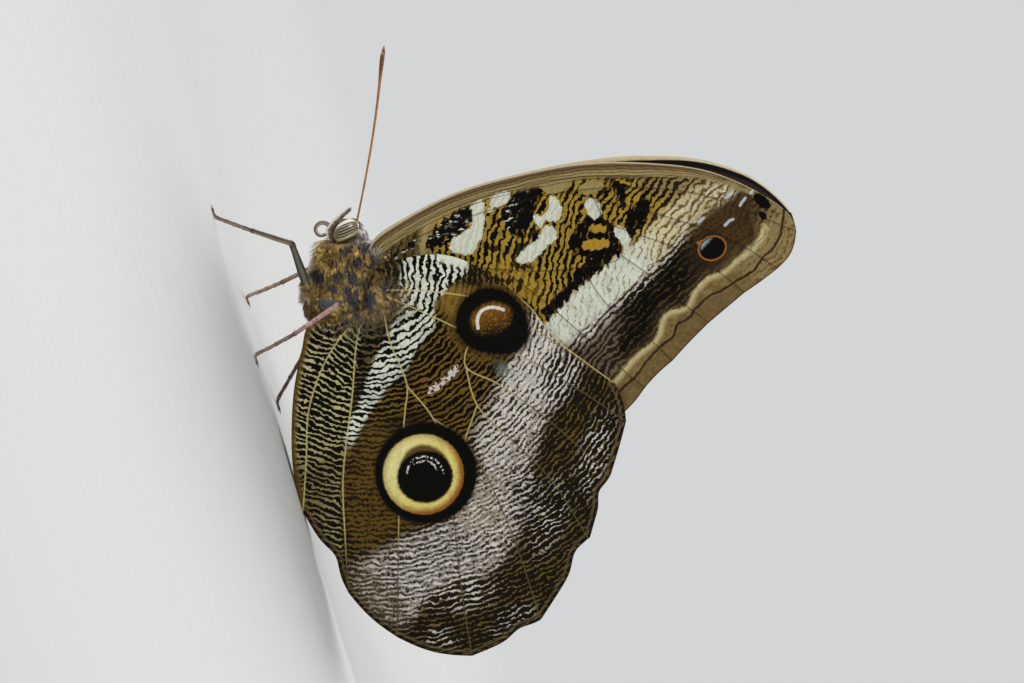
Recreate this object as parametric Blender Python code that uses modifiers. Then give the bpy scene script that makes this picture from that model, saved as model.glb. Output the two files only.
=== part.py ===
"""Owl butterfly at rest, life size, wings closed upright over its back.

Frame: metres, +Z up, origin on the floor under the middle of the animal.
The head points to -X, the tail to +X, the left side to -Y.  It stands on its
four walking feet and on the lower edges of both hindwings.
Sizes below are in millimetres and are turned into metres as meshes are made.
"""
import math

import bmesh
import bpy
from mathutils import Matrix, Vector, geometry

MM = 0.001
GAP = 0.3                 # clearance between touching pieces
SIDES = {"left": -1.0, "right": 1.0}

# Body axis, from the neck down and back through thorax and abdomen.
NECK = (-24.2, 21.6)
BODY_PITCH = math.radians(-22.0)
THORAX_WIDTH = 4.9        # largest half width, coat included
# distance along the axis, height above it, depth below it, share of the width
THORAX_SECTIONS = (
    (0.2, 2.4, 2.2, 0.45),
    (2.0, 5.2, 4.4, 0.72),
    (4.9, 7.2, 5.4, 0.93),
    (8.2, 7.8, 6.5, 1.00),
    (11.2, 7.1, 6.9, 0.97),
    (13.9, 5.4, 6.8, 0.84),
    (16.0, 3.2, 5.2, 0.55),
)
ABDOMEN_AXIS = ((-12.5, 16.6), (-9.7, 15.0), (-4.0, 11.6), (2.7, 8.3), (8.0, 5.9), (10.6, 4.8))
ABDOMEN_RADII = (3.2, 3.9, 3.7, 2.9, 1.8, 0.7)
ABDOMEN_SQUEEZE = 0.9     # width over height

HEAD_CENTRE = (-25.1, 0.0, 21.6)
HEAD_RADII = (2.8, 2.3, 3.3)
HEAD_TILT = math.radians(-24.0)
EYE_CENTRE = (-25.7, 2.05, 21.75)
EYE_RADII = (1.85, 1.6, 2.6)

PALP_PATH = ((-24.6, 18.6), (-26.3, 18.6), (-27.6, 19.9), (-28.4, 21.5), (-29.1, 23.2))
PALP_RADII = (0.55, 0.55, 0.52, 0.42, 0.2)
PALP_Y = 1.25
COIL_CENTRE = (-27.0, 17.5)
COIL_RADIUS = 1.25
COIL_TUBE = 0.42
ANTENNA_START = (-25.9, 23.6)
ANTENNA_TIP = (-55.6, 37.3)
ANTENNA_BOW = 0.6         # the feeler is nearly straight, a little bowed up
ANTENNA_Y = (1.1, 8.6)
ANTENNA_RADIUS = 0.27
CLUB_RADIUS = 0.36

FOOT_Y = 13.5
# root, knee, end of the shin, toes: (x, distance from the middle, z)
LEGS = {
    "midleg_left": ((-16.6, 2.2, 12.2), (-26.6, 7.5, 11.9), (-31.2, 11.6, 5.7), (-36.2, FOOT_Y, 0.18)),
    "midleg_right": ((-16.8, 2.2, 13.2), (-20.6, 9.6, 16.0), (-18.9, 12.6, 7.2), (-17.4, FOOT_Y, 0.18)),
    "hindleg_left": ((-14.4, 2.2, 12.8), (-13.9, 9.2, 17.2), (-11.0, 12.2, 7.8), (-8.7, FOOT_Y, 0.18)),
    "hindleg_right": ((-14.4, 2.2, 12.4), (-13.8, 8.6, 14.6), (-4.5, 12.2, 6.8), (2.8, FOOT_Y, 0.18)),
}
FEMUR_RADII = (1.0, 1.05, 0.8)
TIBIA_RADII = (0.62, 0.6, 0.5)
TARSUS_RADII = (0.44, 0.4, 0.36)
TOE_LENGTH = 1.6          # last part of the foot, lying on the floor
# The small forelegs are folded up against the breast.
FORELEG = ((-20.0, 3.2, 16.8), (-22.0, 3.6, 15.1), (-24.6, 2.6, 16.2), (-25.6, 2.1, 18.0))
FORELEG_RADII = (0.6, 0.62, 0.55, 0.3)

# Wings: half thickness of the membrane and of a vein, and half a vein's width.
MEMBRANE = 0.25
VEIN = 0.45
VEIN_WIDTH = 0.5
EDGE_STEP = 2.7
VEIN_STEP = 5.0
FILL_STEP = 6.5

# Vein ends on the forewing's outer edge, apex first, and how far the edge
# between two of them bows outward.
FORE_ENDS = {
    "R5": (-3.2, 100.3),
    "M1": (2.4, 95.2),
    "M2": (5.0, 88.2),
    "M3": (8.5, 80.5),
    "Cu1": (13.4, 72.2),
    "Cu2": (16.8, 66.0),
    "A2": (20.1, 61.1),
}
FORE_BOW = (0.9, 0.1, 0.0, -0.1, -0.2, 0.2)
FORE_NOTCH = ((0.0, 0.5),) * 6
FORE_COSTA = (
    (-20.6, 23.8), (-22.8, 26.3), (-25.0, 33.0), (-26.8, 43.0), (-26.9, 54.0), (-25.8, 66.0),
    (-22.9, 77.2), (-18.6, 87.4), (-12.4, 95.2), (-6.2, 100.0),
)
FORE_INNER = ((8.0, 49.5), (-5.0, 35.5), (-13.5, 26.0), (-15.6, 22.6))
FORE_VEINS = (
    ((-20.6, 25.5), (-23.8, 37.0), (-24.9, 50.6), (-24.0, 62.5), (-21.7, 72.3), (-18.6, 82.0)),
    ((-19.8, 25.0), (-21.6, 38.5), (-22.2, 52.0), (-21.6, 62.0), (-19.5, 72.6), (-14.8, 85.0), "R5"),
    ((-21.6, 62.0), (-17.0, 70.6), (-9.8, 82.3), (-4.3, 89.3), "M1"),
    ((-14.2, 67.4), (-10.1, 73.3), (-5.8, 79.1), (0.6, 85.2), "M2"),
    ((-7.6, 68.6), (-4.0, 71.6), (4.1, 77.2), "M3"),
    ((-18.4, 25.2), (-13.4, 40.6), (-9.0, 53.5), (-7.6, 61.0), (-7.6, 68.6), (-14.2, 67.4), (-19.2, 66.6)),
    ((-7.6, 61.0), (0.2, 63.6), (6.6, 68.2), "Cu1"),
    ((-11.2, 47.0), (-3.7, 52.6), (7.9, 60.1), "Cu2"),
    ((-17.6, 24.6), (-10.6, 34.6), (-1.5, 43.4), (9.1, 52.2), "A2"),
)

HIND_ENDS = {
    "Sc": (14.2, 61.0),
    "Rs": (21.6, 61.1),
    "M1": (30.6, 55.5),
    "M2": (40.7, 48.7),
    "M3": (52.3, 36.2),
    "Cu1": (55.2, 22.3),
    "Cu2": (48.2, 10.2),
    "A2": (38.0, 3.9),
    "A3": (21.4, 0.0),
}
HIND_BOW = (0.5, 0.1, -0.2, 0.2, 0.5, 1.0, 0.6, -0.1)
# small notches in that edge: depth, and place between the two vein ends
HIND_NOTCH = ((0.0, 0.5), (0.0, 0.5), (0.9, 0.26), (1.2, 0.18), (0.8, 0.3), (0.0, 0.5), (0.0, 0.5), (1.1, 0.42))
HIND_COSTA = (
    (-14.2, 22.6), (-18.2, 25.8), (-18.2, 30.0), (-17.0, 37.0), (-13.6, 42.2), (-4.2, 49.6),
    (3.4, 52.9), (8.9, 56.9),
)
HIND_INNER = ((17.4, 0.0), (11.3, 0.9), (0.1, 4.4), (-7.5, 8.2), (-11.2, 10.5), (-11.6, 16.0), (-11.2, 21.5))
HIND_VEINS = (
    ((-13.6, 26.0), (-11.0, 33.6), (-6.0, 43.4), (3.2, 51.8), (8.4, 56.0), "Sc"),
    ((-12.8, 25.4), (-6.6, 32.5), (-0.2, 39.7), (5.7, 46.9), (12.5, 53.4), "Rs"),
    ((-1.4, 38.4), (3.8, 35.8), (8.4, 40.4), (14.3, 45.2), (22.4, 50.8), "M1"),
    ((3.8, 35.8), (11.3, 35.9), (20.5, 41.0), (28.5, 45.2), "M2"),
    ((11.4, 27.5), (17.0, 31.8), (23.6, 33.8), (36.7, 35.6), "M3"),
    ((4.4, 24.6), (11.4, 27.5), (19.1, 27.9), (32.3, 25.7), (45.3, 23.5), "Cu1"),
    ((-11.6, 24.6), (-4.5, 23.9), (4.4, 24.6), (8.9, 22.9), (20.6, 18.6), (36.4, 13.7), "Cu2"),
    ((11.3, 35.9), (17.0, 31.8)),
    ((-11.2, 23.4), (-8.7, 19.7), (4.0, 14.3), (17.6, 8.7), (27.5, 6.2), "A2"),
    ((-11.8, 22.6), (-8.9, 17.4), (-4.3, 11.8), (3.6, 6.3), (12.0, 3.4), "A3"),
)

# The right forewing's front edge stands a little further forward than the left's.
FORE_LEAD = ((-22.0, 77.5), (-13.0, 93.5), 0.8, 1.7)

FORE_ROOT = (-18.6, 25.0)
HIND_ROOT = (-13.4, 25.2)
FORE_PAD = ((-18.7, 2.9, 24.6), (2.6, 1.3, 2.4))
HIND_PAD = ((-12.8, 4.3, 23.6), (2.3, 1.5, 2.4))

COAT = {
    "thorax": ((0.36, 0.25, 0.13), 0.9),
    "abdomen": ((0.33, 0.25, 0.17), 0.9),
    "head": ((0.34, 0.25, 0.15), 0.85),
    "eye": ((0.62, 0.55, 0.33), 0.25),
    "palp": ((0.33, 0.27, 0.22), 0.8),
    "coil": ((0.10, 0.06, 0.04), 0.45),
    "antenna": ((0.45, 0.22, 0.09), 0.5),
    "foreleg": ((0.36, 0.29, 0.20), 0.85),
    "femur": ((0.30, 0.29, 0.20), 0.8),
    "tibia": ((0.33, 0.24, 0.18), 0.7),
    "tarsus": ((0.36, 0.24, 0.19), 0.6),
    "forewing": ((0.27, 0.20, 0.12), 0.7),
    "hindwing": ((0.22, 0.17, 0.11), 0.7),
}


def clear_scene():
    for obj in list(bpy.data.objects):
        bpy.data.objects.remove(obj, do_unlink=True)


def collection(name):
    group = bpy.data.collections.new(name)
    bpy.context.scene.collection.children.link(group)
    return group


clear_scene()
MODEL = collection("owl_butterfly")
TOOLS = collection("cutters")


def coat_material(node, look):
    colour, roughness = COAT[look]
    mat = bpy.data.materials.new(node + "_surface")
    mat.use_nodes = True
    shader = mat.node_tree.nodes["Principled BSDF"]
    shader.inputs["Base Color"].default_value = (*colour, 1.0)
    shader.inputs["Roughness"].default_value = roughness
    shader.inputs["Metallic"].default_value = 0.0
    return mat


def smooth_path(points, step):
    """Points every step or so along a smooth curve through the given ones."""
    pts = [Vector(p) for p in points]
    ends = [2 * pts[0] - pts[1]] + pts + [2 * pts[-1] - pts[-2]]
    out = []
    for i in range(1, len(ends) - 2):
        p0, p1, p2, p3 = ends[i - 1:i + 3]
        t1 = (p1 - p0).length ** 0.5
        t2 = t1 + (p2 - p1).length ** 0.5
        t3 = t2 + (p3 - p2).length ** 0.5
        count = max(1, round((p2 - p1).length / step))
        for k in range(count):
            t = t1 + (t2 - t1) * k / count
            a1 = p0 * ((t1 - t) / t1) + p1 * (t / t1)
            a2 = p1 * ((t2 - t) / (t2 - t1)) + p2 * ((t - t1) / (t2 - t1))
            a3 = p2 * ((t3 - t) / (t3 - t2)) + p3 * ((t - t2) / (t3 - t2))
            b1 = a1 * ((t2 - t) / t2) + a2 * (t / t2)
            b2 = a2 * ((t3 - t) / (t3 - t1)) + a3 * ((t - t1) / (t3 - t1))
            out.append(b1 * ((t2 - t) / (t2 - t1)) + b2 * ((t - t1) / (t2 - t1)))
    out.append(pts[-1])
    return out


def place(name, mesh, look=None):
    """A mesh as an object: a node of the model, or a cutter without a look."""
    obj = bpy.data.objects.new(name, mesh)
    if look:
        MODEL.objects.link(obj)
        mesh.materials.clear()
        mesh.materials.append(coat_material(name, look))
        mesh.shade_smooth()
        mesh.set_sharp_from_angle(angle=math.radians(50))
    else:
        TOOLS.objects.link(obj)
        obj.hide_render = True
        obj.display_type = "WIRE"
    return obj


def from_bmesh(name, bm, look=None):
    mesh = bpy.data.meshes.new(name)
    bmesh.ops.recalc_face_normals(bm, faces=bm.faces[:])
    bm.to_mesh(mesh)
    bm.free()
    return place(name, mesh, look)


def ball(name, centre, radii, tilt=0.0, look=None, grow=0.0, segments=20, rings=12):
    bm = bmesh.new()
    bmesh.ops.create_uvsphere(bm, u_segments=segments, v_segments=rings, radius=1.0)
    size = Matrix.Diagonal([(r + grow) * MM for r in radii] + [1.0])
    turn = Matrix.Rotation(tilt, 4, "Y")
    move = Matrix.Translation(Vector(centre) * MM)
    bmesh.ops.transform(bm, matrix=move @ turn @ size, verts=bm.verts[:])
    return from_bmesh(name, bm, look)


def loft(name, sections, sides, look=None):
    """Skin over egg-shaped rings: (centre, up direction, up, down, half width)."""
    bm = bmesh.new()
    rings = []
    for centre, up, high, low, wide in sections:
        ring = []
        for k in range(sides):
            angle = 2 * math.pi * k / sides
            rise = math.sin(angle)
            reach = high if rise > 0 else low
            spot = centre + up * (rise * reach) + Vector((0, math.cos(angle) * wide, 0))
            ring.append(bm.verts.new(spot * MM))
        rings.append(ring)
    for one, two in zip(rings, rings[1:]):
        for k in range(sides):
            n = (k + 1) % sides
            bm.faces.new((one[k], one[n], two[n], two[k]))
    for ring, (centre, *rest) in ((rings[0], sections[0]), (rings[-1], sections[-1])):
        bm.faces.new(ring)
    bmesh.ops.triangulate(bm, faces=[f for f in bm.faces if len(f.verts) > 4])
    return from_bmesh(name, bm, look)


def thorax_shape(name, look=None, grow=0.0):
    along = Vector((math.cos(BODY_PITCH), 0, math.sin(BODY_PITCH)))
    up = Vector((-along.z, 0, along.x))
    knots = [Vector(s) for s in THORAX_SECTIONS]
    start = Vector((NECK[0], 0, NECK[1]))
    table = smooth_path([k.to_4d() if len(k) == 3 else k for k in knots], 1.9)
    sections = []
    for s, high, low, width in table:
        sections.append((start + along * s, up, high + grow, low + grow, width * THORAX_WIDTH + grow))
    first, last = table[0], table[-1]
    for (s, high, low, width), sign, target in ((first, -1, 0), (last, 1, len(sections) + 1)):
        tip = (start + along * (s + sign * (0.9 + grow)), up, high * 0.5, low * 0.5,
               width * THORAX_WIDTH * 0.5)
        sections.insert(target, tip)
    return loft(name, sections, 20, look)


def abdomen_shape(name, look=None, grow=0.0):
    path = smooth_path([(x, r, z) for (x, z), r in zip(ABDOMEN_AXIS, ABDOMEN_RADII)], 2.0)
    sections = []
    for i, p in enumerate(path):
        before = path[max(i - 1, 0)]
        after = path[min(i + 1, len(path) - 1)]
        along = Vector((after.x - before.x, 0, after.z - before.z)).normalized()
        up = Vector((-along.z, 0, along.x))
        r = p.y + grow
        sections.append((Vector((p.x, 0, p.z)), up, r, r, r * ABDOMEN_SQUEEZE))
    return loft(name, sections, 18, look)


def tube(name, points, radii, look=None, grow=0.0, step=2.0, resolution=2):
    """A tapered tube as a curve, made a mesh with its caps welded on."""
    lay = [Vector((*p, r)) for p, r in zip(points, radii)]
    path = smooth_path(lay, step)
    if grow:
        head = (path[0] - path[1]).normalized() * grow
        tail = (path[-1] - path[-2]).normalized() * grow
        path[0] = path[0] + head
        path[-1] = path[-1] + tail
    curve = bpy.data.curves.new(name + "_curve", "CURVE")
    curve.dimensions = "3D"
    curve.bevel_depth = MM
    curve.bevel_resolution = resolution
    curve.use_fill_caps = True
    line = curve.splines.new("POLY")
    line.points.add(len(path) - 1)
    for point, (x, y, z, r) in zip(line.points, path):
        point.co = (x * MM, y * MM, z * MM, 1.0)
        point.radius = r + grow
    guide = bpy.data.objects.new(name + "_curve", curve)
    TOOLS.objects.link(guide)
    bpy.context.view_layer.update()
    graph = bpy.context.evaluated_depsgraph_get()
    mesh = bpy.data.meshes.new_from_object(guide.evaluated_get(graph))
    bm = bmesh.new()
    bm.from_mesh(mesh)
    bmesh.ops.remove_doubles(bm, verts=bm.verts[:], dist=1e-6)
    bpy.data.objects.remove(guide, do_unlink=True)
    bpy.data.meshes.remove(mesh)
    return from_bmesh(name, bm, look)


def keep_largest(bm):
    """Only the largest connected surface stays."""
    left = set(bm.verts)
    groups = []
    while left:
        seed = left.pop()
        group = {seed}
        stack = [seed]
        while stack:
            for edge in stack.pop().link_edges:
                for other in edge.verts:
                    if other in left:
                        left.discard(other)
                        group.add(other)
                        stack.append(other)
        groups.append(group)
    groups.sort(key=len)
    for group in groups[:-1]:
        bmesh.ops.delete(bm, geom=list(group), context="VERTS")


def bake(obj):
    """Applies the modifiers and keeps the largest closed surface."""
    bpy.context.view_layer.update()
    graph = bpy.context.evaluated_depsgraph_get()
    mesh = bpy.data.meshes.new_from_object(obj.evaluated_get(graph))
    obj.modifiers.clear()
    bm = bmesh.new()
    bm.from_mesh(mesh)
    bmesh.ops.remove_doubles(bm, verts=bm.verts[:], dist=2e-6)
    bmesh.ops.dissolve_degenerate(bm, dist=2e-6, edges=bm.edges[:])
    keep_largest(bm)
    bmesh.ops.triangulate(bm, faces=bm.faces[:])
    bm.to_mesh(obj.data)
    bm.free()
    bpy.data.meshes.remove(mesh)
    return obj


def boolean(obj, others, operation):
    for other in others:
        mod = obj.modifiers.new(operation.lower() + "_" + other.name, "BOOLEAN")
        mod.operation = operation
        mod.solver = "EXACT"
        mod.object = other
    return bake(obj)


def cut(obj, cutters):
    return boolean(obj, cutters, "DIFFERENCE")


def on_side(points, sign):
    return [(x, sign * y, z) for x, y, z in points]


# Floor cutter: everything that stands ends flat at floor level.
bm = bmesh.new()
bmesh.ops.create_cube(bm, size=1.0)
slab = Matrix.Translation((0.0, 0.0, -0.005)) @ Matrix.Diagonal((0.2, 0.1, 0.01, 1.0))
bmesh.ops.transform(bm, matrix=slab, verts=bm.verts[:])
floor = from_bmesh("floor_cutter", bm)

# Body: thorax, abdomen, head and eyes.
thorax_cutter = thorax_shape("thorax_cutter", grow=GAP)
thorax = thorax_shape("thorax", "thorax")
abdomen = cut(abdomen_shape("abdomen", "abdomen"), [thorax_cutter])
head_cutter = ball("head_cutter", HEAD_CENTRE, HEAD_RADII, HEAD_TILT, grow=GAP)
head = ball("head", HEAD_CENTRE, HEAD_RADII, HEAD_TILT, "head")
eye_cutters = []
for side, sign in SIDES.items():
    spot = (EYE_CENTRE[0], sign * EYE_CENTRE[1], EYE_CENTRE[2])
    ball("eye_" + side, spot, EYE_RADII, HEAD_TILT, "eye", segments=22, rings=14)
    eye_cutters.append(ball("eye_cutter_" + side, spot, EYE_RADII, HEAD_TILT, grow=GAP))
cut(head, [thorax_cutter] + eye_cutters)
for side in SIDES:
    cut(bpy.data.objects["eye_" + side], [thorax_cutter])


def coil_points():
    """The tongue leaves the head, runs forward and down, and rolls up in one loop."""
    points = []
    for k in range(17):
        t = k / 16
        angle = math.radians(62 + 318 * t)
        reach = COIL_RADIUS * (1.0 + 0.75 * math.exp(-t * 9) - 0.22 * t * t)
        points.append((COIL_CENTRE[0] + reach * math.cos(angle), 0.0,
                       COIL_CENTRE[1] + reach * math.sin(angle)))
    return points


coil = coil_points()
coil_radii = [COIL_TUBE * (1.0 - 0.25 * i / (len(coil) - 1)) for i in range(len(coil))]
proboscis = tube("proboscis", coil, coil_radii, "coil", step=0.9, resolution=1)
cut(proboscis, [head_cutter, thorax_cutter])


def antenna_points(sign):
    points = []
    radii = []
    for k in range(15):
        t = k / 14
        x = ANTENNA_START[0] + (ANTENNA_TIP[0] - ANTENNA_START[0]) * t
        z = ANTENNA_START[1] + (ANTENNA_TIP[1] - ANTENNA_START[1]) * t
        z += ANTENNA_BOW * math.sin(math.pi * t)
        y = ANTENNA_Y[0] + (ANTENNA_Y[1] - ANTENNA_Y[0]) * t ** 1.3
        swell = math.exp(-((t - 0.93) / 0.09) ** 2)
        points.append((x, sign * y, z))
        radii.append(ANTENNA_RADIUS + (CLUB_RADIUS - ANTENNA_RADIUS) * swell)
    radii[-1] = 0.2
    return points, radii


for side, sign in SIDES.items():
    palp = [(x, sign * PALP_Y, z) for x, z in PALP_PATH]
    node = tube("palp_" + side, palp, PALP_RADII, "palp", step=1.1, resolution=2)
    cut(node, [head_cutter, thorax_cutter] + eye_cutters)
    points, radii = antenna_points(sign)
    node = tube("antenna_" + side, points, radii, "antenna", step=2.2, resolution=1)
    cut(node, [head_cutter] + eye_cutters)
    node = tube("foreleg_" + side, on_side(FORELEG, sign), FORELEG_RADII, "foreleg", step=1.4)
    cut(node, [thorax_cutter])


def leg(name, root, knee, ankle, toe, sign):
    """Thigh, shin and foot, each cut clear of the one before it."""
    root, knee, ankle, toe = [Vector(p) for p in on_side((root, knee, ankle, toe), sign)]
    thigh = [root, root.lerp(knee, 0.5), knee]
    shin = [knee, knee.lerp(ankle, 0.5) + Vector((0, sign * 0.3, 0)), ankle]
    run = (toe - ankle).normalized()
    flat = Vector((run.x, run.y, 0)).normalized() * TOE_LENGTH
    land = toe - flat * 0.4 + Vector((0, 0, 0.06))
    foot = [ankle, ankle.lerp(land, 0.55) + Vector((0, 0, -0.2)), land, toe + flat * 0.6]
    foot_radii = TARSUS_RADII + (0.24,)
    femur = tube(name + "_femur", thigh, FEMUR_RADII, "femur", step=3.0)
    femur_cutter = tube(name + "_femur_cutter", thigh, FEMUR_RADII, grow=GAP, step=3.0)
    tibia = tube(name + "_tibia", shin, TIBIA_RADII, "tibia", step=3.0)
    tibia_cutter = tube(name + "_tibia_cutter", shin, TIBIA_RADII, grow=GAP, step=3.0)
    tarsus = tube(name + "_tarsus", foot, foot_radii, "tarsus", step=1.6)
    cut(femur, [thorax_cutter])
    cut(tibia, [femur_cutter])
    cut(tarsus, [tibia_cutter, floor])


for name, joints in LEGS.items():
    leg(name, *joints, SIDES[name.split("_")[1]])


def bell(distance, width):
    return math.exp(-(distance / width) ** 2)


def segment_distance(x, z, a, b):
    """Distance from (x, z) to the straight line from a to b."""
    ax, az = a
    dx, dz = b[0] - ax, b[1] - az
    t = ((x - ax) * dx + (z - az) * dz) / (dx * dx + dz * dz)
    t = min(max(t, 0.0), 1.0)
    return math.hypot(x - ax - dx * t, z - az - dz * t)


def fore_offset(x, z):
    """How far the forewing's middle surface stands from the plane of symmetry."""
    root = math.hypot(x - FORE_ROOT[0], z - FORE_ROOT[1])
    belly = math.hypot(x + 19.5, z - 85.0)
    return 1.1 + 1.7 * bell(root, 10.0) + 3.2 * bell(belly, 19.0)


def fore_lead(x, z):
    """Small forward and upward shift near the right forewing's front edge."""
    a, b, low, high = FORE_LEAD
    t = min(max((z - a[1]) / (b[1] - a[1]), 0.0), 1.0)
    amount = (low + (high - low) * t) * bell(segment_distance(x, z, a, b), 9.5)
    return x - 0.85 * amount, z + 0.4 * amount


def hind_offset(x, z):
    """The hindwing lies outside the forewing and swells round the abdomen."""
    root = math.hypot(x - HIND_ROOT[0], z - HIND_ROOT[1] - 1.5)
    side = segment_distance(x, z, (-12.0, 16.5), (7.0, 6.5))
    return 2.45 + 1.7 * bell(root, 9.0) + 2.35 * bell(max(0.0, side - 4.5), 5.5)


def outline(costa, ends, bows, notches, inner):
    """Closed edge of a wing: front edge, scalloped outer edge, inner edge."""
    stops = [Vector(p) for p in ends.values()]
    edge = smooth_path(list(costa) + [stops[0]], EDGE_STEP)[:-1]
    for i, (bow, (depth, place)) in enumerate(zip(bows, notches)):
        a, b = stops[i], stops[i + 1]
        span = b - a
        out = Vector((-span.y, span.x)).normalized()
        count = max(3, round(span.length / EDGE_STEP))
        for k in range(count):
            t = k / count
            rise = bow * math.sin(math.pi * t) - depth * bell(t - place, 0.17)
            edge.append(a + span * t + out * rise)
    edge += smooth_path([stops[-1]] + [Vector(p) for p in inner], EDGE_STEP)
    return edge


def vein_lines(veins, ends):
    """Centre lines of the veins, with the named ends put in place."""
    lines = []
    for vein in veins:
        points = [ends[p] if isinstance(p, str) else p for p in vein]
        lines.append(smooth_path(points, VEIN_STEP))
    return lines


def near_lines(x, z, lines):
    best = 99.0
    for line in lines:
        for a, b in zip(line, line[1:]):
            best = min(best, segment_distance(x, z, a, b))
    return best


def wing_sheet(name, edge, lines, offset, sign):
    """Triangulates the wing with its veins as ridges, and gives it thickness."""
    coords = [Vector(p) for p in edge]
    ring = list(range(len(coords)))
    edges = []
    for line in lines:
        normals = []
        for i, p in enumerate(line):
            run = line[min(i + 1, len(line) - 1)] - line[max(i - 1, 0)]
            normals.append(Vector((-run.y, run.x)).normalized() * VEIN_WIDTH)
        for shift in (-1, 0, 1):
            start = len(coords)
            cut_end = 1 if shift else 0
            row = [p + n * shift for p, n in zip(line, normals)][:len(line) - cut_end]
            coords += row
            edges += [(start + i, start + i + 1) for i in range(len(row) - 1)]
    xs = [p.x for p in edge]
    zs = [p.y for p in edge]
    closed = list(edge) + [edge[0]]
    row = 0
    z = min(zs)
    while z < max(zs):
        x = min(xs) + (row % 2) * FILL_STEP / 2
        while x < max(xs):
            if near_lines(x, z, lines) > 2.0 and near_lines(x, z, [closed]) > 1.8:
                coords.append(Vector((x, z)))
            x += FILL_STEP
        z += FILL_STEP * 0.87
        row += 1
    verts, _, faces, *_ = geometry.delaunay_2d_cdt(coords, edges, [ring], 1, 0.02)
    bm = bmesh.new()
    relief = bm.verts.layers.deform.verify()
    made = []
    for p in verts:
        x, z = fore_lead(p.x, p.y) if name == "forewing_right" else (p.x, p.y)
        vert = bm.verts.new((x * MM, sign * offset(p.x, p.y) * MM, z * MM))
        ridge = max(0.0, 1.0 - near_lines(p.x, p.y, lines) / VEIN_WIDTH)
        vert[relief][0] = (MEMBRANE + (VEIN - MEMBRANE) * ridge) / VEIN
        made.append(vert)
    for face in faces:
        bm.faces.new([made[i] for i in face])
    loose = [v for v in bm.verts if not v.link_faces]
    bmesh.ops.delete(bm, geom=loose, context="VERTS")
    look = name.split("_")[0]
    sheet = from_bmesh(name, bm, look)
    sheet.vertex_groups.new(name="relief")
    solid = sheet.modifiers.new("thickness", "SOLIDIFY")
    solid.thickness = 2 * VEIN * MM
    solid.offset = 0.0
    solid.vertex_group = "relief"
    return bake(sheet)


def wing(name, costa, ends, bows, notches, inner, veins, offset, pad, sign):
    edge = outline(costa, ends, bows, notches, inner)
    node = wing_sheet(name, edge, vein_lines(veins, ends), offset, sign)
    centre, radii = pad
    root = ball(name + "_pad", on_side([centre], sign)[0], radii, segments=14, rings=8)
    boolean(node, [root], "UNION")
    return cut(node, [thorax_cutter, floor])


for side, sign in SIDES.items():
    wing("forewing_" + side, FORE_COSTA, FORE_ENDS, FORE_BOW, FORE_NOTCH, FORE_INNER, FORE_VEINS,
         fore_offset, FORE_PAD, sign)
    wing("hindwing_" + side, HIND_COSTA, HIND_ENDS, HIND_BOW, HIND_NOTCH, HIND_INNER, HIND_VEINS,
         hind_offset, HIND_PAD, sign)

for tool in list(TOOLS.objects):
    bpy.data.objects.remove(tool, do_unlink=True)
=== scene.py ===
# %% [markdown]
# # An owl butterfly at rest
# This lesson dresses a life-size owl butterfly that stands with its wings closed over its back.
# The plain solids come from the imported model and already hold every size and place. What is
# left to make is the surface: painted wing sheets with raised veins, a furry body, striped eyes,
# ringed feelers and spiny legs. Everything stays in metres in the frame of those solids, so a
# new piece goes exactly where its solid stands and nothing has to be fitted by eye.

# %% Load the frame
import math

import bmesh
import bpy
import numpy as np
from mathutils import Matrix, Vector, geometry


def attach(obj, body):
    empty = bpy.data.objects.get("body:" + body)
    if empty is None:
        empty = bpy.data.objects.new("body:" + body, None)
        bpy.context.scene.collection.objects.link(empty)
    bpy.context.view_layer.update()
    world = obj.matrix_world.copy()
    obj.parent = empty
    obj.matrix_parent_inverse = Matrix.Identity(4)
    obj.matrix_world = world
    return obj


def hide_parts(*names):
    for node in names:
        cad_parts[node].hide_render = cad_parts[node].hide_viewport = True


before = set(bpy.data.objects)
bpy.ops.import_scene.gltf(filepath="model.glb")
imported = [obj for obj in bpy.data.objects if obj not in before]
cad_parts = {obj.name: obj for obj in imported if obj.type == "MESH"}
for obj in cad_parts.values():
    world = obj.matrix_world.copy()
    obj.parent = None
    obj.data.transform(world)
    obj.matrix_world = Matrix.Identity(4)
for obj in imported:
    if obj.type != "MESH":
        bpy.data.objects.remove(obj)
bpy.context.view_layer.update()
MM = 0.001
SIDES = {"left": -1.0, "right": 1.0}

# %% [markdown]
# ## The camera
# The animal is seen square on from its left side with a long lens, so its wings look flat and
# undistorted. A camera could be aimed with a constraint, but a matrix built from three angles
# says plainly where it stands: a little toward the head, a little above the floor, and rolled
# with the animal, so that it appears head up.

# %% Camera
TURN = math.radians(-5.0)
RISE = math.radians(1.5)
ROLL = math.radians(74.1)
STAND_OFF = 1.5
LOOK_AT = Vector((0.0021, 0.0, 0.0451))
MM_PER_PIXEL = 0.182
PICTURE_WIDTH = 1024
SENSOR_WIDTH = 36.0


def camera_frame():
    back = Vector((math.sin(TURN) * math.cos(RISE), -math.cos(TURN) * math.cos(RISE), math.sin(RISE)))
    side = Vector((math.cos(TURN), math.sin(TURN), 0.0))
    up = back.cross(side)
    right = side * math.cos(ROLL) + up * math.sin(ROLL)
    above = up * math.cos(ROLL) - side * math.sin(ROLL)
    matrix = Matrix((right, above, back)).transposed().to_4x4()
    matrix.translation = LOOK_AT + back * STAND_OFF
    return matrix


def link_object(name, data):
    made = bpy.data.objects.new(name, data)
    bpy.context.scene.collection.objects.link(made)
    return made


lens = bpy.data.cameras.new("long_lens")
lens.sensor_width = SENSOR_WIDTH
lens.lens = SENSOR_WIDTH * STAND_OFF / (PICTURE_WIDTH * MM_PER_PIXEL * MM)
lens.clip_start = 0.1
lens.clip_end = 10.0
camera = link_object("camera", lens)
camera.matrix_world = camera_frame()
bpy.context.scene.camera = camera
print("focal length in mm:", round(lens.lens, 1))

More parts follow.
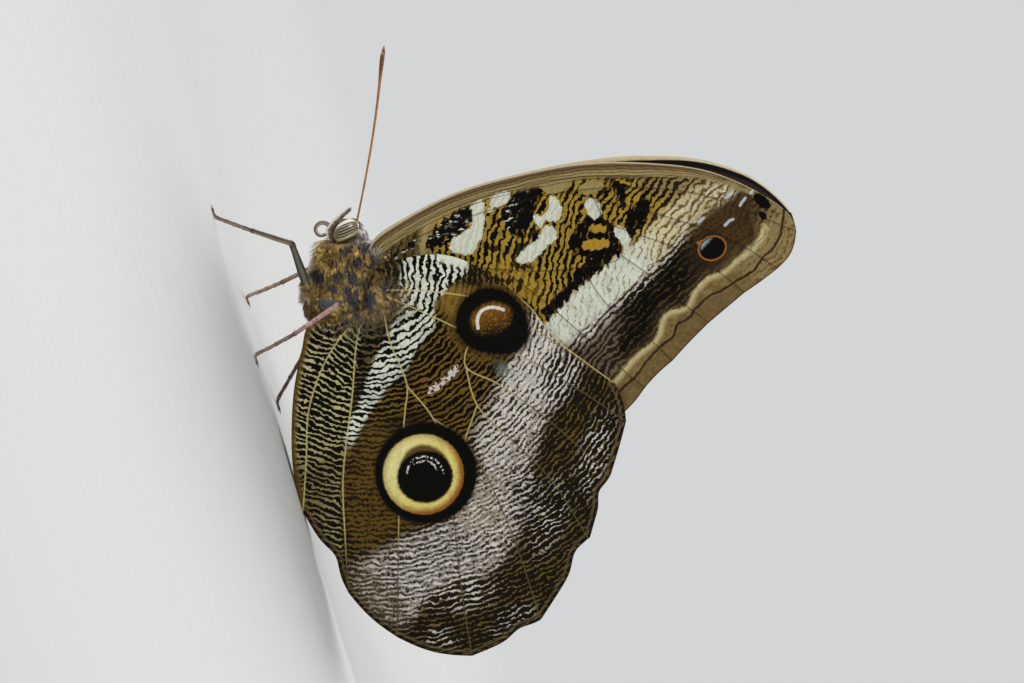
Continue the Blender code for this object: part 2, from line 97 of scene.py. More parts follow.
# %% [markdown]
# ## Soft studio light
# Wing scales are dull, so what shows them best is broad, even light with one side a little
# stronger to model the veins and the fur. Area lights far larger than the insect give that, and
# a pale world fills what is left. The lamps are placed in the frame of the animal.

# %% Light
world = bpy.data.worlds.new("pale_room")
world.use_nodes = True
room = world.node_tree.nodes["Background"]
room.inputs["Color"].default_value = (0.84, 0.85, 0.86, 1.0)
room.inputs["Strength"].default_value = 0.78
bpy.context.scene.world = world
bpy.context.scene.view_settings.view_transform = "Standard"


def soft_lamp(name, spot, size, power, tint):
    lamp = bpy.data.lights.new(name, "AREA")
    lamp.shape = "DISK"
    lamp.size = size
    lamp.energy = power
    lamp.color = tint
    holder = link_object(name, lamp)
    place = Vector(spot)
    holder.location = place
    holder.rotation_euler = (LOOK_AT - place).to_track_quat("-Z", "Y").to_euler()


soft_lamp("key", (-0.55, -0.75, 0.5), 0.45, 4.6, (1.0, 0.97, 0.92))
soft_lamp("fill", (0.7, -0.6, 0.3), 0.6, 0.9, (0.92, 0.96, 1.0))
soft_lamp("far_side", (0.1, 0.8, 0.5), 0.6, 2.4, (1.0, 0.99, 0.97))

# %% [markdown]
# ## Reading a recipe for a surface
# Every finish here is a procedural material. Wiring nodes by hand takes many lines, so this small
# class lets a finish be written like a recipe. Each call adds a node or two and gives back its
# output, and lay() paints one more colour over what is there. Sizes are given in millimetres,
# which is how a scale or a hair is thought of.

# %% Paint recipe helper
def srgb(red, green, blue):
    """A colour as a painter reads it, 0 to 255, turned into the light that a shader adds up."""
    out = []
    for part in (red, green, blue):
        c = part / 255.0
        out.append(c / 12.92 if c <= 0.04045 else ((c + 0.055) / 1.055) ** 2.4)
    return tuple(out)


def dye(hue):
    """Light from a name in HUES or from numbers 0 to 255; the output of a node stays as it is."""
    if isinstance(hue, bpy.types.NodeSocket):
        return hue
    return srgb(*(HUES[hue] if isinstance(hue, str) else hue))


class Recipe:
    """A finish in the making; colour is what has been painted so far."""

    def __init__(self, name):
        self.mat = bpy.data.materials.new(name)
        self.mat.use_nodes = True
        self.tree = self.mat.node_tree
        self.shader = self.tree.nodes["Principled BSDF"]
        self.place = self.tree.nodes.new("ShaderNodeTexCoord").outputs["Object"]
        self.colour = None

    def put(self, socket, value):
        if isinstance(value, bpy.types.NodeSocket):
            self.tree.links.new(value, socket)
        elif isinstance(value, tuple) and len(value) == 3 and len(socket.default_value) == 4:
            socket.default_value = (*value, 1.0)
        else:
            socket.default_value = value

    def math(self, kind, a, b=0.0, c=0.0, clamp=False):
        node = self.tree.nodes.new("ShaderNodeMath")
        node.operation = kind
        node.use_clamp = clamp
        for socket, value in zip(node.inputs, (a, b, c)):
            self.put(socket, value)
        return node.outputs[0]

    def add(self, a, b):
        return self.math("ADD", a, b)

    def minus(self, a, b):
        return self.math("SUBTRACT", a, b)

    def times(self, a, b):
        return self.math("MULTIPLY", a, b)

    def sine(self, value, every=1.0):
        """A wave from -1 to 1 that comes back whenever the value grows by every."""
        return self.math("SINE", self.times(value, 2 * math.pi / every))

    def attribute(self, name, output):
        node = self.tree.nodes.new("ShaderNodeAttribute")
        node.attribute_name = name
        return node.outputs[output]

    def field(self, name):
        return self.attribute(name, "Fac")

    def tint(self, name):
        return self.attribute(name, "Color")

    def grid(self, size, stretch, shift=0.0):
        """The place on the piece, counted in lumps of size mm."""
        node = self.tree.nodes.new("ShaderNodeMapping")
        self.put(node.inputs["Vector"], self.place)
        node.inputs["Location"].default_value = (shift, shift * 0.7, shift * 1.3)
        node.inputs["Scale"].default_value = tuple(1.0 / (size * MM * s) for s in stretch)
        return node.outputs[0]

    def noise(self, size, detail=1.0, rough=0.5, stretch=(1, 1, 1), shift=0.0, gain=None):
        """Cloudy values round zero, with lumps about size mm across."""
        node = self.tree.nodes.new("ShaderNodeTexNoise")
        self.put(node.inputs["Vector"], self.grid(size, stretch, shift))
        node.inputs["Scale"].default_value = 1.0
        node.inputs["Detail"].default_value = detail
        node.inputs["Roughness"].default_value = rough
        cloud = self.minus(node.outputs[0], 0.5)
        return cloud if gain is None else self.times(cloud, gain)

    def cells(self, size, stretch=(1, 1, 1)):
        """Distance from the middle of small scattered cells: scales, facets."""
        node = self.tree.nodes.new("ShaderNodeTexVoronoi")
        self.put(node.inputs["Vector"], self.grid(size, stretch))
        node.inputs["Scale"].default_value = 1.0
        return node.outputs["Distance"]

    def step(self, value, low, high):
        """0 below low, 1 above high, smooth between."""
        node = self.tree.nodes.new("ShaderNodeMapRange")
        node.interpolation_type = "SMOOTHSTEP"
        self.put(node.inputs["Value"], value)
        self.put(node.inputs["From Min"], low)
        self.put(node.inputs["From Max"], high)
        return node.outputs[0]

    def ramp(self, name, low, high, more=None):
        """The same step for a painted field, with more added to it first."""
        value = self.field(name)
        return self.step(value if more is None else self.add(value, more), low, high)

    def mix(self, share, one, two):
        node = self.tree.nodes.new("ShaderNodeMix")
        node.data_type = "RGBA"
        self.put(node.inputs[0], share)
        self.put(node.inputs[6], one)
        self.put(node.inputs[7], two)
        return node.outputs[2]

    def blend(self, share, one, two):
        """The same mix for colours given as a painter reads them."""
        return self.mix(share, dye(one), dye(two))

    def lay(self, share, hue, amount=1.0):
        """Paints a colour over what is there, where and as thickly as the share says."""
        if amount != 1.0:
            share = self.times(share, amount)
        self.colour = self.mix(share, self.colour, dye(hue))

    def brighten(self, tone):
        node = self.tree.nodes.new("ShaderNodeHueSaturation")
        self.put(node.inputs["Color"], self.colour)
        self.put(node.inputs["Value"], tone)
        self.colour = node.outputs[0]

    def bump(self, height, depth_mm, strength=1.0):
        node = self.tree.nodes.new("ShaderNodeBump")
        node.inputs["Strength"].default_value = strength
        node.inputs["Distance"].default_value = depth_mm * MM
        self.put(node.inputs["Height"], height)
        self.put(self.shader.inputs["Normal"], node.outputs[0])

    def finish(self, roughness, **plain):
        self.put(self.shader.inputs["Base Color"], self.colour)
        self.put(self.shader.inputs["Roughness"], roughness)
        for name, value in plain.items():
            self.put(self.shader.inputs[name.replace("_", " ")], value)
        return self.mat


print("a mid grey of 128 is", round(srgb(128, 128, 128)[0], 3), "of full light")

# %% [markdown]
# ## The floor
# The model stands on a pale table. A round sheet that fades out with distance from the middle
# melts into the room, so no horizon cuts through the picture and no wall hides other views. The
# floor isn't part of the object.

# %% Floor
FLOOR_GAP = 0.03


def pale_floor_finish():
    paint = Recipe("pale_floor")
    grain = paint.noise(9.0, 3.0)
    paint.colour = paint.mix(paint.step(grain, -0.3, 0.3), (0.52, 0.52, 0.515), (0.55, 0.55, 0.545))
    radius = paint.tree.nodes.new("ShaderNodeVectorMath")
    radius.operation = "LENGTH"
    paint.put(radius.inputs[0], paint.place)
    fade = paint.step(radius.outputs["Value"], 0.9, 0.3)
    paint.put(paint.shader.inputs["Alpha"], fade)
    paint.bump(grain, 0.05, 0.3)
    return paint.finish(paint.add(0.6, paint.times(grain, 0.1)))


def mesh_of(bm, name):
    mesh = bpy.data.meshes.new(name)
    bm.to_mesh(mesh)
    bm.free()
    return mesh


def round_floor(radius=0.95, rings=24, sides=72):
    bm = bmesh.new()
    middle = bm.verts.new((0, 0, 0))
    before = None
    for r in range(1, rings + 1):
        reach = radius * (r / rings) ** 1.4
        ring = [bm.verts.new((reach * math.cos(a), reach * math.sin(a), 0.0))
                for a in (2 * math.pi * k / sides for k in range(sides))]
        for k in range(sides):
            n = (k + 1) % sides
            if before:
                bm.faces.new((before[k], ring[k], ring[n], before[n]))
            else:
                bm.faces.new((middle, ring[k], ring[n]))
        before = ring
    return mesh_of(bm, "floor")


floor = link_object("floor", round_floor())
floor.data.materials.append(pale_floor_finish())
floor.location.z = -FLOOR_GAP * MM
print("floor faces:", len(floor.data.polygons))

# %% [markdown]
# ## Curves and distances
# Wing edges and veins are smooth lines through a few measured points. A centripetal Catmull-Rom
# curve passes through each point without overshooting, so a measured point stays where it is.
# Most of the pattern is then drawn from distances: how far a spot is from an edge, a vein or a
# patch. Distances are smooth, so a modest mesh can carry them and the shader still cuts a
# crisp line.

# %% Curve and distance helpers
def between(a, b, start, end, t):
    return a * ((end - t) / (end - start)) + b * ((t - start) / (end - start))


def smooth_path(points, step):
    """Points every step or so along a smooth curve through the given ones."""
    pts = [Vector(p) for p in points]
    ends = [2 * pts[0] - pts[1]] + pts + [2 * pts[-1] - pts[-2]]
    out = []
    for i in range(1, len(ends) - 2):
        p0, p1, p2, p3 = ends[i - 1:i + 3]
        t1 = (p1 - p0).length ** 0.5
        t2 = t1 + (p2 - p1).length ** 0.5
        t3 = t2 + (p3 - p2).length ** 0.5
        count = max(1, round((p2 - p1).length / step))
        for k in range(count):
            t = t1 + (t2 - t1) * k / count
            a2 = between(p1, p2, t1, t2, t)
            b1 = between(between(p0, p1, 0.0, t1, t), a2, 0.0, t2, t)
            b2 = between(a2, between(p2, p3, t2, t3, t), t1, t3, t)
            out.append(between(b1, b2, t1, t2, t))
    out.append(pts[-1])
    return out


def bell(distance, width):
    return np.exp(-(distance / width) ** 2)


def line_gap(spots, line):
    """Distance of every spot to a line of many points."""
    line = np.array([tuple(p)[:2] for p in line])
    best = np.full(len(spots), 1e9)
    for a, b in zip(line[:-1], line[1:]):
        run = b - a
        t = np.clip((spots - a) @ run / max(run @ run, 1e-12), 0.0, 1.0)
        best = np.minimum(best, np.hypot(*(spots - a - t[:, None] * run).T))
    return best


def loop_gap(spots, loop):
    return line_gap(spots, list(loop) + [loop[0]])


def inside(spots, loop):
    """Which spots lie inside a closed loop."""
    loop = np.array([tuple(p)[:2] for p in loop])
    found = np.zeros(len(spots), bool)
    x, z = spots.T
    for (ax, az), (bx, bz) in zip(loop, np.roll(loop, -1, axis=0)):
        if az != bz:
            crossing = (az > z) != (bz > z)
            found ^= crossing & (x < (bx - ax) * (z - az) / (bz - az) + ax)
    return found


def smooth_loop(points, step):
    """A closed smooth curve through the given points."""
    pts = [tuple(p) for p in points]
    path = smooth_path(pts[-2:] + pts + pts[:2], step)
    home = [i for i, p in enumerate(path) if (p - Vector(pts[0])).length < 1e-4]
    return path[home[0]:home[-1]]


SQUARE = ((-3, -3), (3, -3), (3, 3), (-3, 3))
print("round a 6 mm square go", len(smooth_loop(SQUARE, 0.6)), "points of a smooth loop")

# %% Depth inside a shape
def patch(spots, points, rounded=True):
    """Depth inside a patch in mm: positive inside, negative outside."""
    loop = smooth_loop(points, 0.6) if rounded else [Vector(p) for p in points]
    gap = loop_gap(spots, loop)
    return np.where(inside(spots, loop), gap, -gap)


def oval(spots, centre, radii, tilt=0.0):
    """Depth inside a tilted oval in mm, near enough for drawing."""
    a = math.radians(tilt)
    d = spots - np.array(centre)
    u = (d[:, 0] * math.cos(a) + d[:, 1] * math.sin(a)) / radii[0]
    v = (d[:, 1] * math.cos(a) - d[:, 0] * math.sin(a)) / radii[1]
    return (1.0 - np.hypot(u, v)) * min(radii)


def brush(spots, points, width):
    """Depth inside a brush stroke of the given width in mm."""
    return width / 2 - line_gap(spots, smooth_path(points, 0.5))


def shapes(spots, patches=(), ovals=()):
    """Depth inside any of several patches and ovals."""
    return np.max([patch(spots, p) for p in patches] + [oval(spots, *o) for o in ovals], axis=0)


def strokes(spots, lines, width):
    """Depth inside any of several brush strokes."""
    return np.max([brush(spots, line, width) for line in lines], axis=0)


def overlap(*depths):
    """Depth inside all of several shapes at once."""
    return np.minimum.reduce(depths)


print("its middle is", patch(np.zeros((1, 2)), SQUARE)[0].round(2), "mm deep inside it")

# %% [markdown]
# ## The shape of a wing
# A butterfly's wing is two skins of chitin over a fan of hollow veins, thinner than paper between
# the veins. The same measured outline and veins that made the solids are used again here, with
# far more points, so that the sheet can be thin, its veins can stand up as fine ridges, and its
# pattern can be painted from distances. The hindwing swells outward round the abdomen and both
# wings part a little near the tip.

# %% Wing outlines and veins
FORE_ENDS = {"R5": (-3.2, 100.3), "M1": (2.4, 95.2), "M2": (5.0, 88.2), "M3": (8.5, 80.5),
             "Cu1": (13.4, 72.2), "Cu2": (16.8, 66.0), "A2": (20.1, 61.1)}
FORE_BOW = (0.9, 0.1, 0.0, -0.1, -0.2, 0.2)
FORE_NOTCH = ((0.0, 0.5),) * 6
FORE_COSTA = ((-20.6, 23.8), (-22.8, 26.3), (-25.0, 33.0), (-26.8, 43.0), (-26.9, 54.0),
              (-25.8, 66.0), (-22.9, 77.2), (-18.6, 87.4), (-12.4, 95.2), (-6.2, 100.0))
FORE_INNER = ((8.0, 49.5), (-5.0, 35.5), (-13.5, 26.0), (-15.6, 22.6))
FORE_VEINS = (
    ((-20.6, 25.5), (-23.8, 37.0), (-24.9, 50.6), (-24.0, 62.5), (-21.7, 72.3), (-18.6, 82.0)),
    ((-19.8, 25.0), (-21.6, 38.5), (-22.2, 52.0), (-21.6, 62.0), (-19.5, 72.6), (-14.8, 85.0), "R5"),
    ((-21.6, 62.0), (-17.0, 70.6), (-9.8, 82.3), (-4.3, 89.3), "M1"),
    ((-14.2, 67.4), (-10.1, 73.3), (-5.8, 79.1), (0.6, 85.2), "M2"),
    ((-7.6, 68.6), (-4.0, 71.6), (4.1, 77.2), "M3"),
    ((-18.4, 25.2), (-13.4, 40.6), (-9.0, 53.5), (-7.6, 61.0), (-7.6, 68.6), (-14.2, 67.4), (-19.2, 66.6)),
    ((-7.6, 61.0), (0.2, 63.6), (6.6, 68.2), "Cu1"),
    ((-11.2, 47.0), (-3.7, 52.6), (7.9, 60.1), "Cu2"),
    ((-17.6, 24.6), (-10.6, 34.6), (-1.5, 43.4), (9.1, 52.2), "A2"),
)
HIND_ENDS = {"Sc": (14.2, 61.0), "Rs": (21.6, 61.1), "M1": (30.6, 55.5), "M2": (40.7, 48.7),
             "M3": (52.3, 36.2), "Cu1": (55.2, 22.3), "Cu2": (48.2, 10.2), "A2": (38.0, 3.9),
             "A3": (21.4, 0.0)}
HIND_BOW = (0.5, 0.1, -0.2, 0.2, 0.5, 1.0, 0.6, -0.1)
HIND_NOTCH = ((0.0, 0.5), (0.0, 0.5), (0.9, 0.26), (1.2, 0.18), (0.8, 0.3), (0.0, 0.5), (0.0, 0.5),
              (1.1, 0.42))
HIND_COSTA = ((-14.2, 22.6), (-18.2, 25.8), (-18.2, 30.0), (-17.0, 37.0), (-13.6, 42.2),
              (-4.2, 49.6), (3.4, 52.9), (8.9, 56.9))
HIND_INNER = ((17.4, 0.0), (11.3, 0.9), (0.1, 4.4), (-7.5, 8.2), (-11.2, 10.5), (-11.6, 16.0),
              (-11.2, 21.5))
HIND_VEINS = (
    ((-13.6, 26.0), (-11.0, 33.6), (-6.0, 43.4), (3.2, 51.8), (8.4, 56.0), "Sc"),
    ((-12.8, 25.4), (-6.6, 32.5), (-0.2, 39.7), (5.7, 46.9), (12.5, 53.4), "Rs"),
    ((-1.4, 38.4), (3.8, 35.8), (8.4, 40.4), (14.3, 45.2), (22.4, 50.8), "M1"),
    ((3.8, 35.8), (11.3, 35.9), (20.5, 41.0), (28.5, 45.2), "M2"),
    ((11.4, 27.5), (17.0, 31.8), (23.6, 33.8), (36.7, 35.6), "M3"),
    ((4.4, 24.6), (11.4, 27.5), (19.1, 27.9), (32.3, 25.7), (45.3, 23.5), "Cu1"),
    ((-11.6, 24.6), (-4.5, 23.9), (4.4, 24.6), (8.9, 22.9), (20.6, 18.6), (36.4, 13.7), "Cu2"),
    ((11.3, 35.9), (17.0, 31.8)),
    ((-11.2, 23.4), (-8.7, 19.7), (4.0, 14.3), (17.6, 8.7), (27.5, 6.2), "A2"),
    ((-11.8, 22.6), (-8.9, 17.4), (-4.3, 11.8), (3.6, 6.3), (12.0, 3.4), "A3"),
)
EDGE_STEP = 0.55


def outline(costa, ends, bows, notches, inner):
    """Closed edge of a wing, and its front, scalloped outer and inner parts."""
    stops = [Vector(p) for p in ends.values()]
    front = smooth_path(list(costa) + [stops[0]], EDGE_STEP)
    outer = []
    for i, (bow, (depth, place)) in enumerate(zip(bows, notches)):
        a, b = stops[i], stops[i + 1]
        span = b - a
        out = Vector((-span.y, span.x)).normalized()
        count = round(span.length / EDGE_STEP)
        for k in range(count):
            t = k / count
            rise = bow * math.sin(math.pi * t) - depth * float(bell(t - place, 0.17))
            outer.append(a + span * t + out * rise)
    back = smooth_path([stops[-1]] + [Vector(p) for p in inner], EDGE_STEP)
    return front[:-1] + outer + back, {"front": front, "outer": outer + [stops[-1]], "back": back}


def vein_lines(veins, ends):
    return [smooth_path([ends[p] if isinstance(p, str) else p for p in vein], 0.9) for vein in veins]


WINGS = {
    "forewing": (*outline(FORE_COSTA, FORE_ENDS, FORE_BOW, FORE_NOTCH, FORE_INNER),
                 vein_lines(FORE_VEINS, FORE_ENDS)),
    "hindwing": (*outline(HIND_COSTA, HIND_ENDS, HIND_BOW, HIND_NOTCH, HIND_INNER),
                 vein_lines(HIND_VEINS, HIND_ENDS)),
}
print("edge points:", {kind: len(wing[0]) for kind, wing in WINGS.items()})

# %% How far each wing stands from the middle
def fore_offset(spots):
    root = np.hypot(spots[:, 0] + 18.6, spots[:, 1] - 25.0)
    belly = np.hypot(spots[:, 0] + 19.5, spots[:, 1] - 85.0)
    return 1.1 + 1.7 * bell(root, 10.0) + 3.2 * bell(belly, 19.0)


def hind_offset(spots):
    root = np.hypot(spots[:, 0] + 13.4, spots[:, 1] - 26.7)
    side = line_gap(spots, ((-12.0, 16.5), (7.0, 6.5)))
    return 2.45 + 1.7 * bell(root, 9.0) + 2.35 * bell(np.maximum(0.0, side - 4.5), 5.5)


def fore_lead(spots):
    """The right forewing's front edge stands a little further forward than the left's."""
    t = np.clip((spots[:, 1] - 77.5) / 16.0, 0.0, 1.0)
    amount = (0.8 + 0.9 * t) * bell(line_gap(spots, ((-22.0, 77.5), (-13.0, 93.5))), 9.5)
    return spots + np.stack((-0.85 * amount, 0.4 * amount), 1)


print("forewing stands out", fore_offset(np.array([[-19.5, 85.0]]))[0].round(2), "mm near its front")

# %% [markdown]
# ## Filling the outline
# The outline is filled with an even net of small triangles, with extra rows along the veins so
# that a ridge has a crest and two feet. A grid with its corners cut off would leave a ragged
# edge. A constrained Delaunay net keeps the edge and the veins exactly as drawn. A few very thin
# white strokes of the pattern get a finer net under them, or they would break into beads.

# %% Net over a wing
NET_STEP = 0.62
FINE_STEP = 0.2
VEIN_HALF = 0.34


def even_net(low, high, step):
    """Points of a triangular net that fills a rectangle."""
    rows = []
    for j, z in enumerate(np.arange(low[1], high[1], step * 0.87)):
        xs = np.arange(low[0] + (j % 2) * step / 2, high[0], step)
        rows.append(np.stack((xs, np.full(len(xs), z)), 1))
    return np.concatenate(rows)


def vein_rows(line):
    """The vein's own row of points, and one at each of its feet."""
    turns = []
    for i in range(len(line)):
        run = line[min(i + 1, len(line) - 1)] - line[max(i - 1, 0)]
        turns.append(Vector((-run.y, run.x)).normalized() * VEIN_HALF)
    for shift in (-1, 0, 1):
        yield [p + n * shift for p, n in zip(line, turns)][:len(line) - (1 if shift else 0)]


def wing_net(edge, lines, thin):
    """Points and triangles over a wing, in mm, with rows along the veins and more at thin strokes."""
    coords = [Vector(p) for p in edge]
    edges = []
    for line in lines:
        for row in vein_rows(line):
            start = len(coords)
            coords += row
            edges += [(start + i, start + i + 1) for i in range(len(row) - 1)]
    low = np.min([tuple(p) for p in edge], axis=0)
    high = np.max([tuple(p) for p in edge], axis=0)
    fine = even_net(low, high, FINE_STEP)
    near = np.min([line_gap(fine, line) for line in thin], axis=0)
    spots = even_net(low, high, NET_STEP)
    far = np.min([line_gap(spots, line) for line in thin], axis=0)
    spots = np.concatenate((spots[far > 0.75], fine[near < 0.6]))
    spots = spots[inside(spots, edge)]
    keep = loop_gap(spots, edge) > 0.4
    for line in lines:
        keep &= line_gap(spots, line) > VEIN_HALF + 0.28
    coords += [Vector(p) for p in spots[keep]]
    verts, _, faces, *_ = geometry.delaunay_2d_cdt(coords, edges, [list(range(len(edge)))], 1, 0.01)
    used = sorted({i for face in faces for i in face})
    index = {old: new for new, old in enumerate(used)}
    points = np.array([tuple(verts[i]) for i in used])
    return points, [[index[i] for i in face] for face in faces]


print("a vein stands on", 2 * VEIN_HALF, "mm, in a net of", NET_STEP, "mm")

# %% Thin strokes and the nets
LUNULES = (((-11.7, 93.0), (-11.1, 92.3), (-10.6, 91.8)), ((-8.6, 89.8), (-8.4, 89.0), (-7.9, 88.2)),
           ((-13.3, 91.0), (-12.9, 90.2), (-12.7, 89.6)), ((-12.6, 94.9), (-12.3, 94.3)),
           ((-10.3, 84.9), (-10.0, 84.2), (-9.7, 83.7)))
EYE_ARCS = (((21.6, 26.7), (20.4, 26.5), (19.0, 25.9), (18.0, 24.8), (17.6, 23.3), (17.8, 21.9),
             (18.6, 20.8), (19.7, 20.2)),
            ((20.6, 25.6), (19.6, 25.3), (18.8, 24.5), (18.4, 23.2), (18.6, 22.0)))
UPPER_CRESCENT = ((-4.0, 45.4), (-4.9, 44.1), (-5.25, 42.6), (-4.8, 41.1), (-3.6, 40.2), (-2.2, 39.9))
THIN_STROKES = {"forewing": LUNULES, "hindwing": (*EYE_ARCS, UPPER_CRESCENT)}
NETS = {kind: wing_net(edge, lines, THIN_STROKES[kind]) for kind, (edge, parts, lines) in WINGS.items()}
print("net points:", {kind: len(net[0]) for kind, net in NETS.items()})

# %% [markdown]
# ## Painting by distance: the forewing
# The underside of an owl butterfly's wing is a camouflage of fine ripples, like the grain of old
# wood, broken by pale patches and eyespots. Each row of scales has one colour, and the ripples
# follow curves round the wing. So the plan has two layers. Broad zones give the ground colour, the
# colour of the ripple lines and how wide those are. Crisp shapes, such as the white patches and
# the eyespot, are distances in mm that the shader cuts at zero.

# %% Colours of the wings
HUES = {
    "gold": (164, 134, 46), "old_gold": (126, 100, 36), "ink": (5, 5, 3), "sepia": (36, 26, 14),
    "chalk": (212, 216, 198), "cream": (206, 196, 146), "khaki": (142, 122, 76),
    "khaki_cream": (156, 140, 92), "costal_tan": (106, 86, 58), "olive": (92, 80, 40),
    "apex_brown": (70, 51, 25), "apex_dark": (46, 32, 14), "line_brown": (38, 26, 14),
    "disc_brown": (110, 84, 27), "surround": (94, 72, 25), "surround_dark": (34, 25, 8),
    "grey_white": (156, 148, 138), "lilac": (152, 147, 142), "gap_brown": (52, 41, 25),
    "outer_dark": (21, 17, 7), "ochre": (98, 78, 33), "buff": (186, 178, 128),
    "grey_brown": (104, 90, 72), "grey_tan": (160, 152, 130), "cream_edge": (210, 196, 156),
    "corner_tan": (124, 116, 94), "corner_brown": (68, 58, 42), "band_white": (194, 188, 178),
}


class Zones:
    """Broad soft colour zones: ground, lines, the lines' share, pale crests and gritty edges."""

    def __init__(self, spots, ground, lines, share, grit=0.0):
        self.spots = spots
        self.ground = np.tile(dye(ground), (len(spots), 1))
        self.lines = np.tile(dye(lines), (len(spots), 1))
        self.share = np.full(len(spots), share)
        self.crest = np.zeros(len(spots))
        self.grit = np.full(len(spots), grit)

    def lay(self, depth, soft, ground, lines, share, strength=1.0, crest=0.0, grit=0.0):
        """Blends a zone in, over soft mm on each side of where its depth is 0."""
        t = np.clip(depth / (2 * soft) + 0.5, 0.0, 1.0)
        t = (t * t * (3 - 2 * t)) * strength
        self.ground += (np.array(dye(ground)) - self.ground) * t[:, None]
        self.lines += (np.array(dye(lines)) - self.lines) * t[:, None]
        self.share += (share - self.share) * t
        self.crest += (crest - self.crest) * t
        self.grit += (grit - self.grit) * t

    def oval(self, centre, radii, tilt, *soft_and_colours, within=None, **more):
        """The same for a tilted oval, as a whole or only within another shape."""
        depth = oval(self.spots, centre, radii, tilt)
        self.lay(depth if within is None else overlap(within, depth), *soft_and_colours, **more)

    def fields(self):
        return {"ground": self.ground, "lines": self.lines, "level": np.cos(math.pi * self.share),
                "crest": self.crest, "grit": self.grit}


print("wing colours:", len(HUES))

# %% Shapes on the forewing
BAND_LEFT = ((-17.0, 93.0), (-15.9, 89.3), (-15.4, 85.1), (-13.6, 79.7), (-10.4, 74.3), (-8.8, 70.5),
             (-7.1, 66.3), (-5.0, 61.4), (-3.2, 57.8), (-1.8, 55.3), (0.4, 52.1), (2.0, 48.0))
BAND_RIGHT = ((-14.6, 93.0), (-13.3, 89.7), (-11.9, 85.5), (-9.0, 80.5), (-6.4, 76.3), (-3.6, 72.2),
              (-1.2, 67.6), (1.0, 63.0), (3.0, 58.8), (6.0, 52.0))
SUB_LINE = ((-8.5, 99.6), (-3.3, 97.2), (-1.25, 95.1), (-0.2, 93.0), (1.7, 90.7), (2.5, 87.2),
            (3.3, 85.1), (3.75, 82.2), (5.4, 78.8), (6.7, 77.2), (7.1, 75.1), (9.2, 73.4),
            (10.0, 71.3), (12.5, 67.2), (13.75, 65.9), (16.5, 60.5))
TAN_EDGE = ((-6.0, 95.0), (-3.3, 92.6), (-1.4, 88.6), (0.2, 85.2), (0.4, 82.6), (2.2, 79.4),
            (4.4, 77.4), (4.8, 73.2), (8.6, 70.4), (10.6, 66.2), (14.2, 60.6))
WHITE_PATCHES = (
    ((-24.4, 47.0), (-21.1, 46.4), (-18.2, 45.3), (-16.6, 44.0), (-15.5, 42.4), (-15.8, 40.8),
     (-17.3, 38.8), (-18.9, 39.8), (-19.6, 42.2), (-20.8, 44.4), (-23.9, 44.8)),
    ((-24.6, 52.2), (-23.2, 51.9), (-22.2, 49.8), (-22.6, 48.4), (-24.3, 48.6)),
    ((-21.7, 59.6), (-20.5, 60.3), (-18.5, 60.4), (-17.2, 59.4), (-17.0, 58.0), (-17.8, 57.0),
     (-16.5, 56.2), (-17.5, 55.2), (-19.4, 55.2), (-18.6, 56.6), (-19.4, 58.2), (-21.4, 58.7)),
    ((-16.7, 57.5), (-15.0, 58.3), (-13.5, 57.8), (-13.2, 56.3), (-12.0, 54.5), (-11.0, 52.5),
     (-11.2, 50.8), (-12.0, 49.8), (-13.0, 51.0), (-14.0, 52.8), (-14.6, 54.8), (-16.0, 55.8)),
    ((-19.4, 66.0), (-18.0, 67.4), (-15.6, 66.8), (-15.4, 65.6), (-16.4, 64.9), (-18.6, 64.8)),
    ((-13.4, 69.2), (-12.0, 70.6), (-10.4, 70.9), (-8.6, 70.2), (-7.9, 69.3), (-9.4, 69.3),
     (-10.8, 69.0), (-12.0, 68.2)),
)
WHITE_DOT = ((-22.2, 48.1), (0.6, 0.55))
KHAKI_PATCHES = (
    ((-22.2, 65.8), (-21.6, 69.0), (-20.4, 68.6), (-20.2, 66.0), (-21.2, 64.2)),
    ((-24.2, 63.5), (-22.6, 63.0), (-21.9, 59.5), (-24.2, 57.6)),
)
INK_PATCHES = (
    ((-24.4, 44.6), (-21.6, 44.9), (-20.0, 43.0), (-18.4, 38.8), (-18.3, 34.6), (-21.0, 36.4),
     (-23.0, 40.0)),
    ((-24.6, 57.6), (-22.4, 58.5), (-20.6, 56.6), (-17.6, 54.6), (-15.4, 52.4), (-16.4, 50.6),
     (-19.6, 49.6), (-21.6, 50.4), (-24.2, 53.0)),
    ((-9.6, 67.0), (-7.4, 66.0), (-3.4, 58.0), (0.2, 52.2), (-2.2, 52.6), (-5.6, 57.8), (-8.6, 62.0)),
    ((-16.4, 64.6), (-14.0, 68.6), (-11.6, 69.0), (-8.0, 68.6), (-9.0, 62.0), (-11.6, 59.6),
     (-14.6, 61.6)),
    ((-23.6, 75.4), (-20.6, 74.2), (-17.0, 70.8), (-20.6, 70.2), (-23.6, 69.8)),
    ((-16.8, 76.6), (-14.4, 75.8), (-11.4, 73.0), (-10.4, 70.8), (-13.6, 70.8), (-16.4, 73.4)),
)
INK_OVALS = (((-20.0, 32.0), (0.7, 1.8), 12), ((-18.9, 28.4), (0.6, 1.6), 20),
             ((-17.4, 31.8), (0.5, 1.6), 15))
GOLD_OVALS = (((-13.6, 65.8), (0.75, 1.7), -14), ((-10.9, 64.6), (1.0, 2.7), -8),
              ((-20.6, 72.6), (0.5, 1.2), -40))
EYESPOT = (-4.5, 84.8)
EYESPOT_RIM = 2.3
TIP_SPOT = (((-7.7, 95.2), (1.15, 0.6), 20), ((-10.3, 95.8), (1.95, 1.0), 32))
print("white patches on the forewing:", len(WHITE_PATCHES), "lunules:", len(LUNULES))

# %% Forewing zones
def sided(spots, line, far):
    """Signed distance to a line: positive on the side of the far points."""
    path = smooth_path(line, 0.5)
    gap = line_gap(spots, path)
    return np.where(inside(spots, list(path) + [Vector(p) for p in far]), gap, -gap)


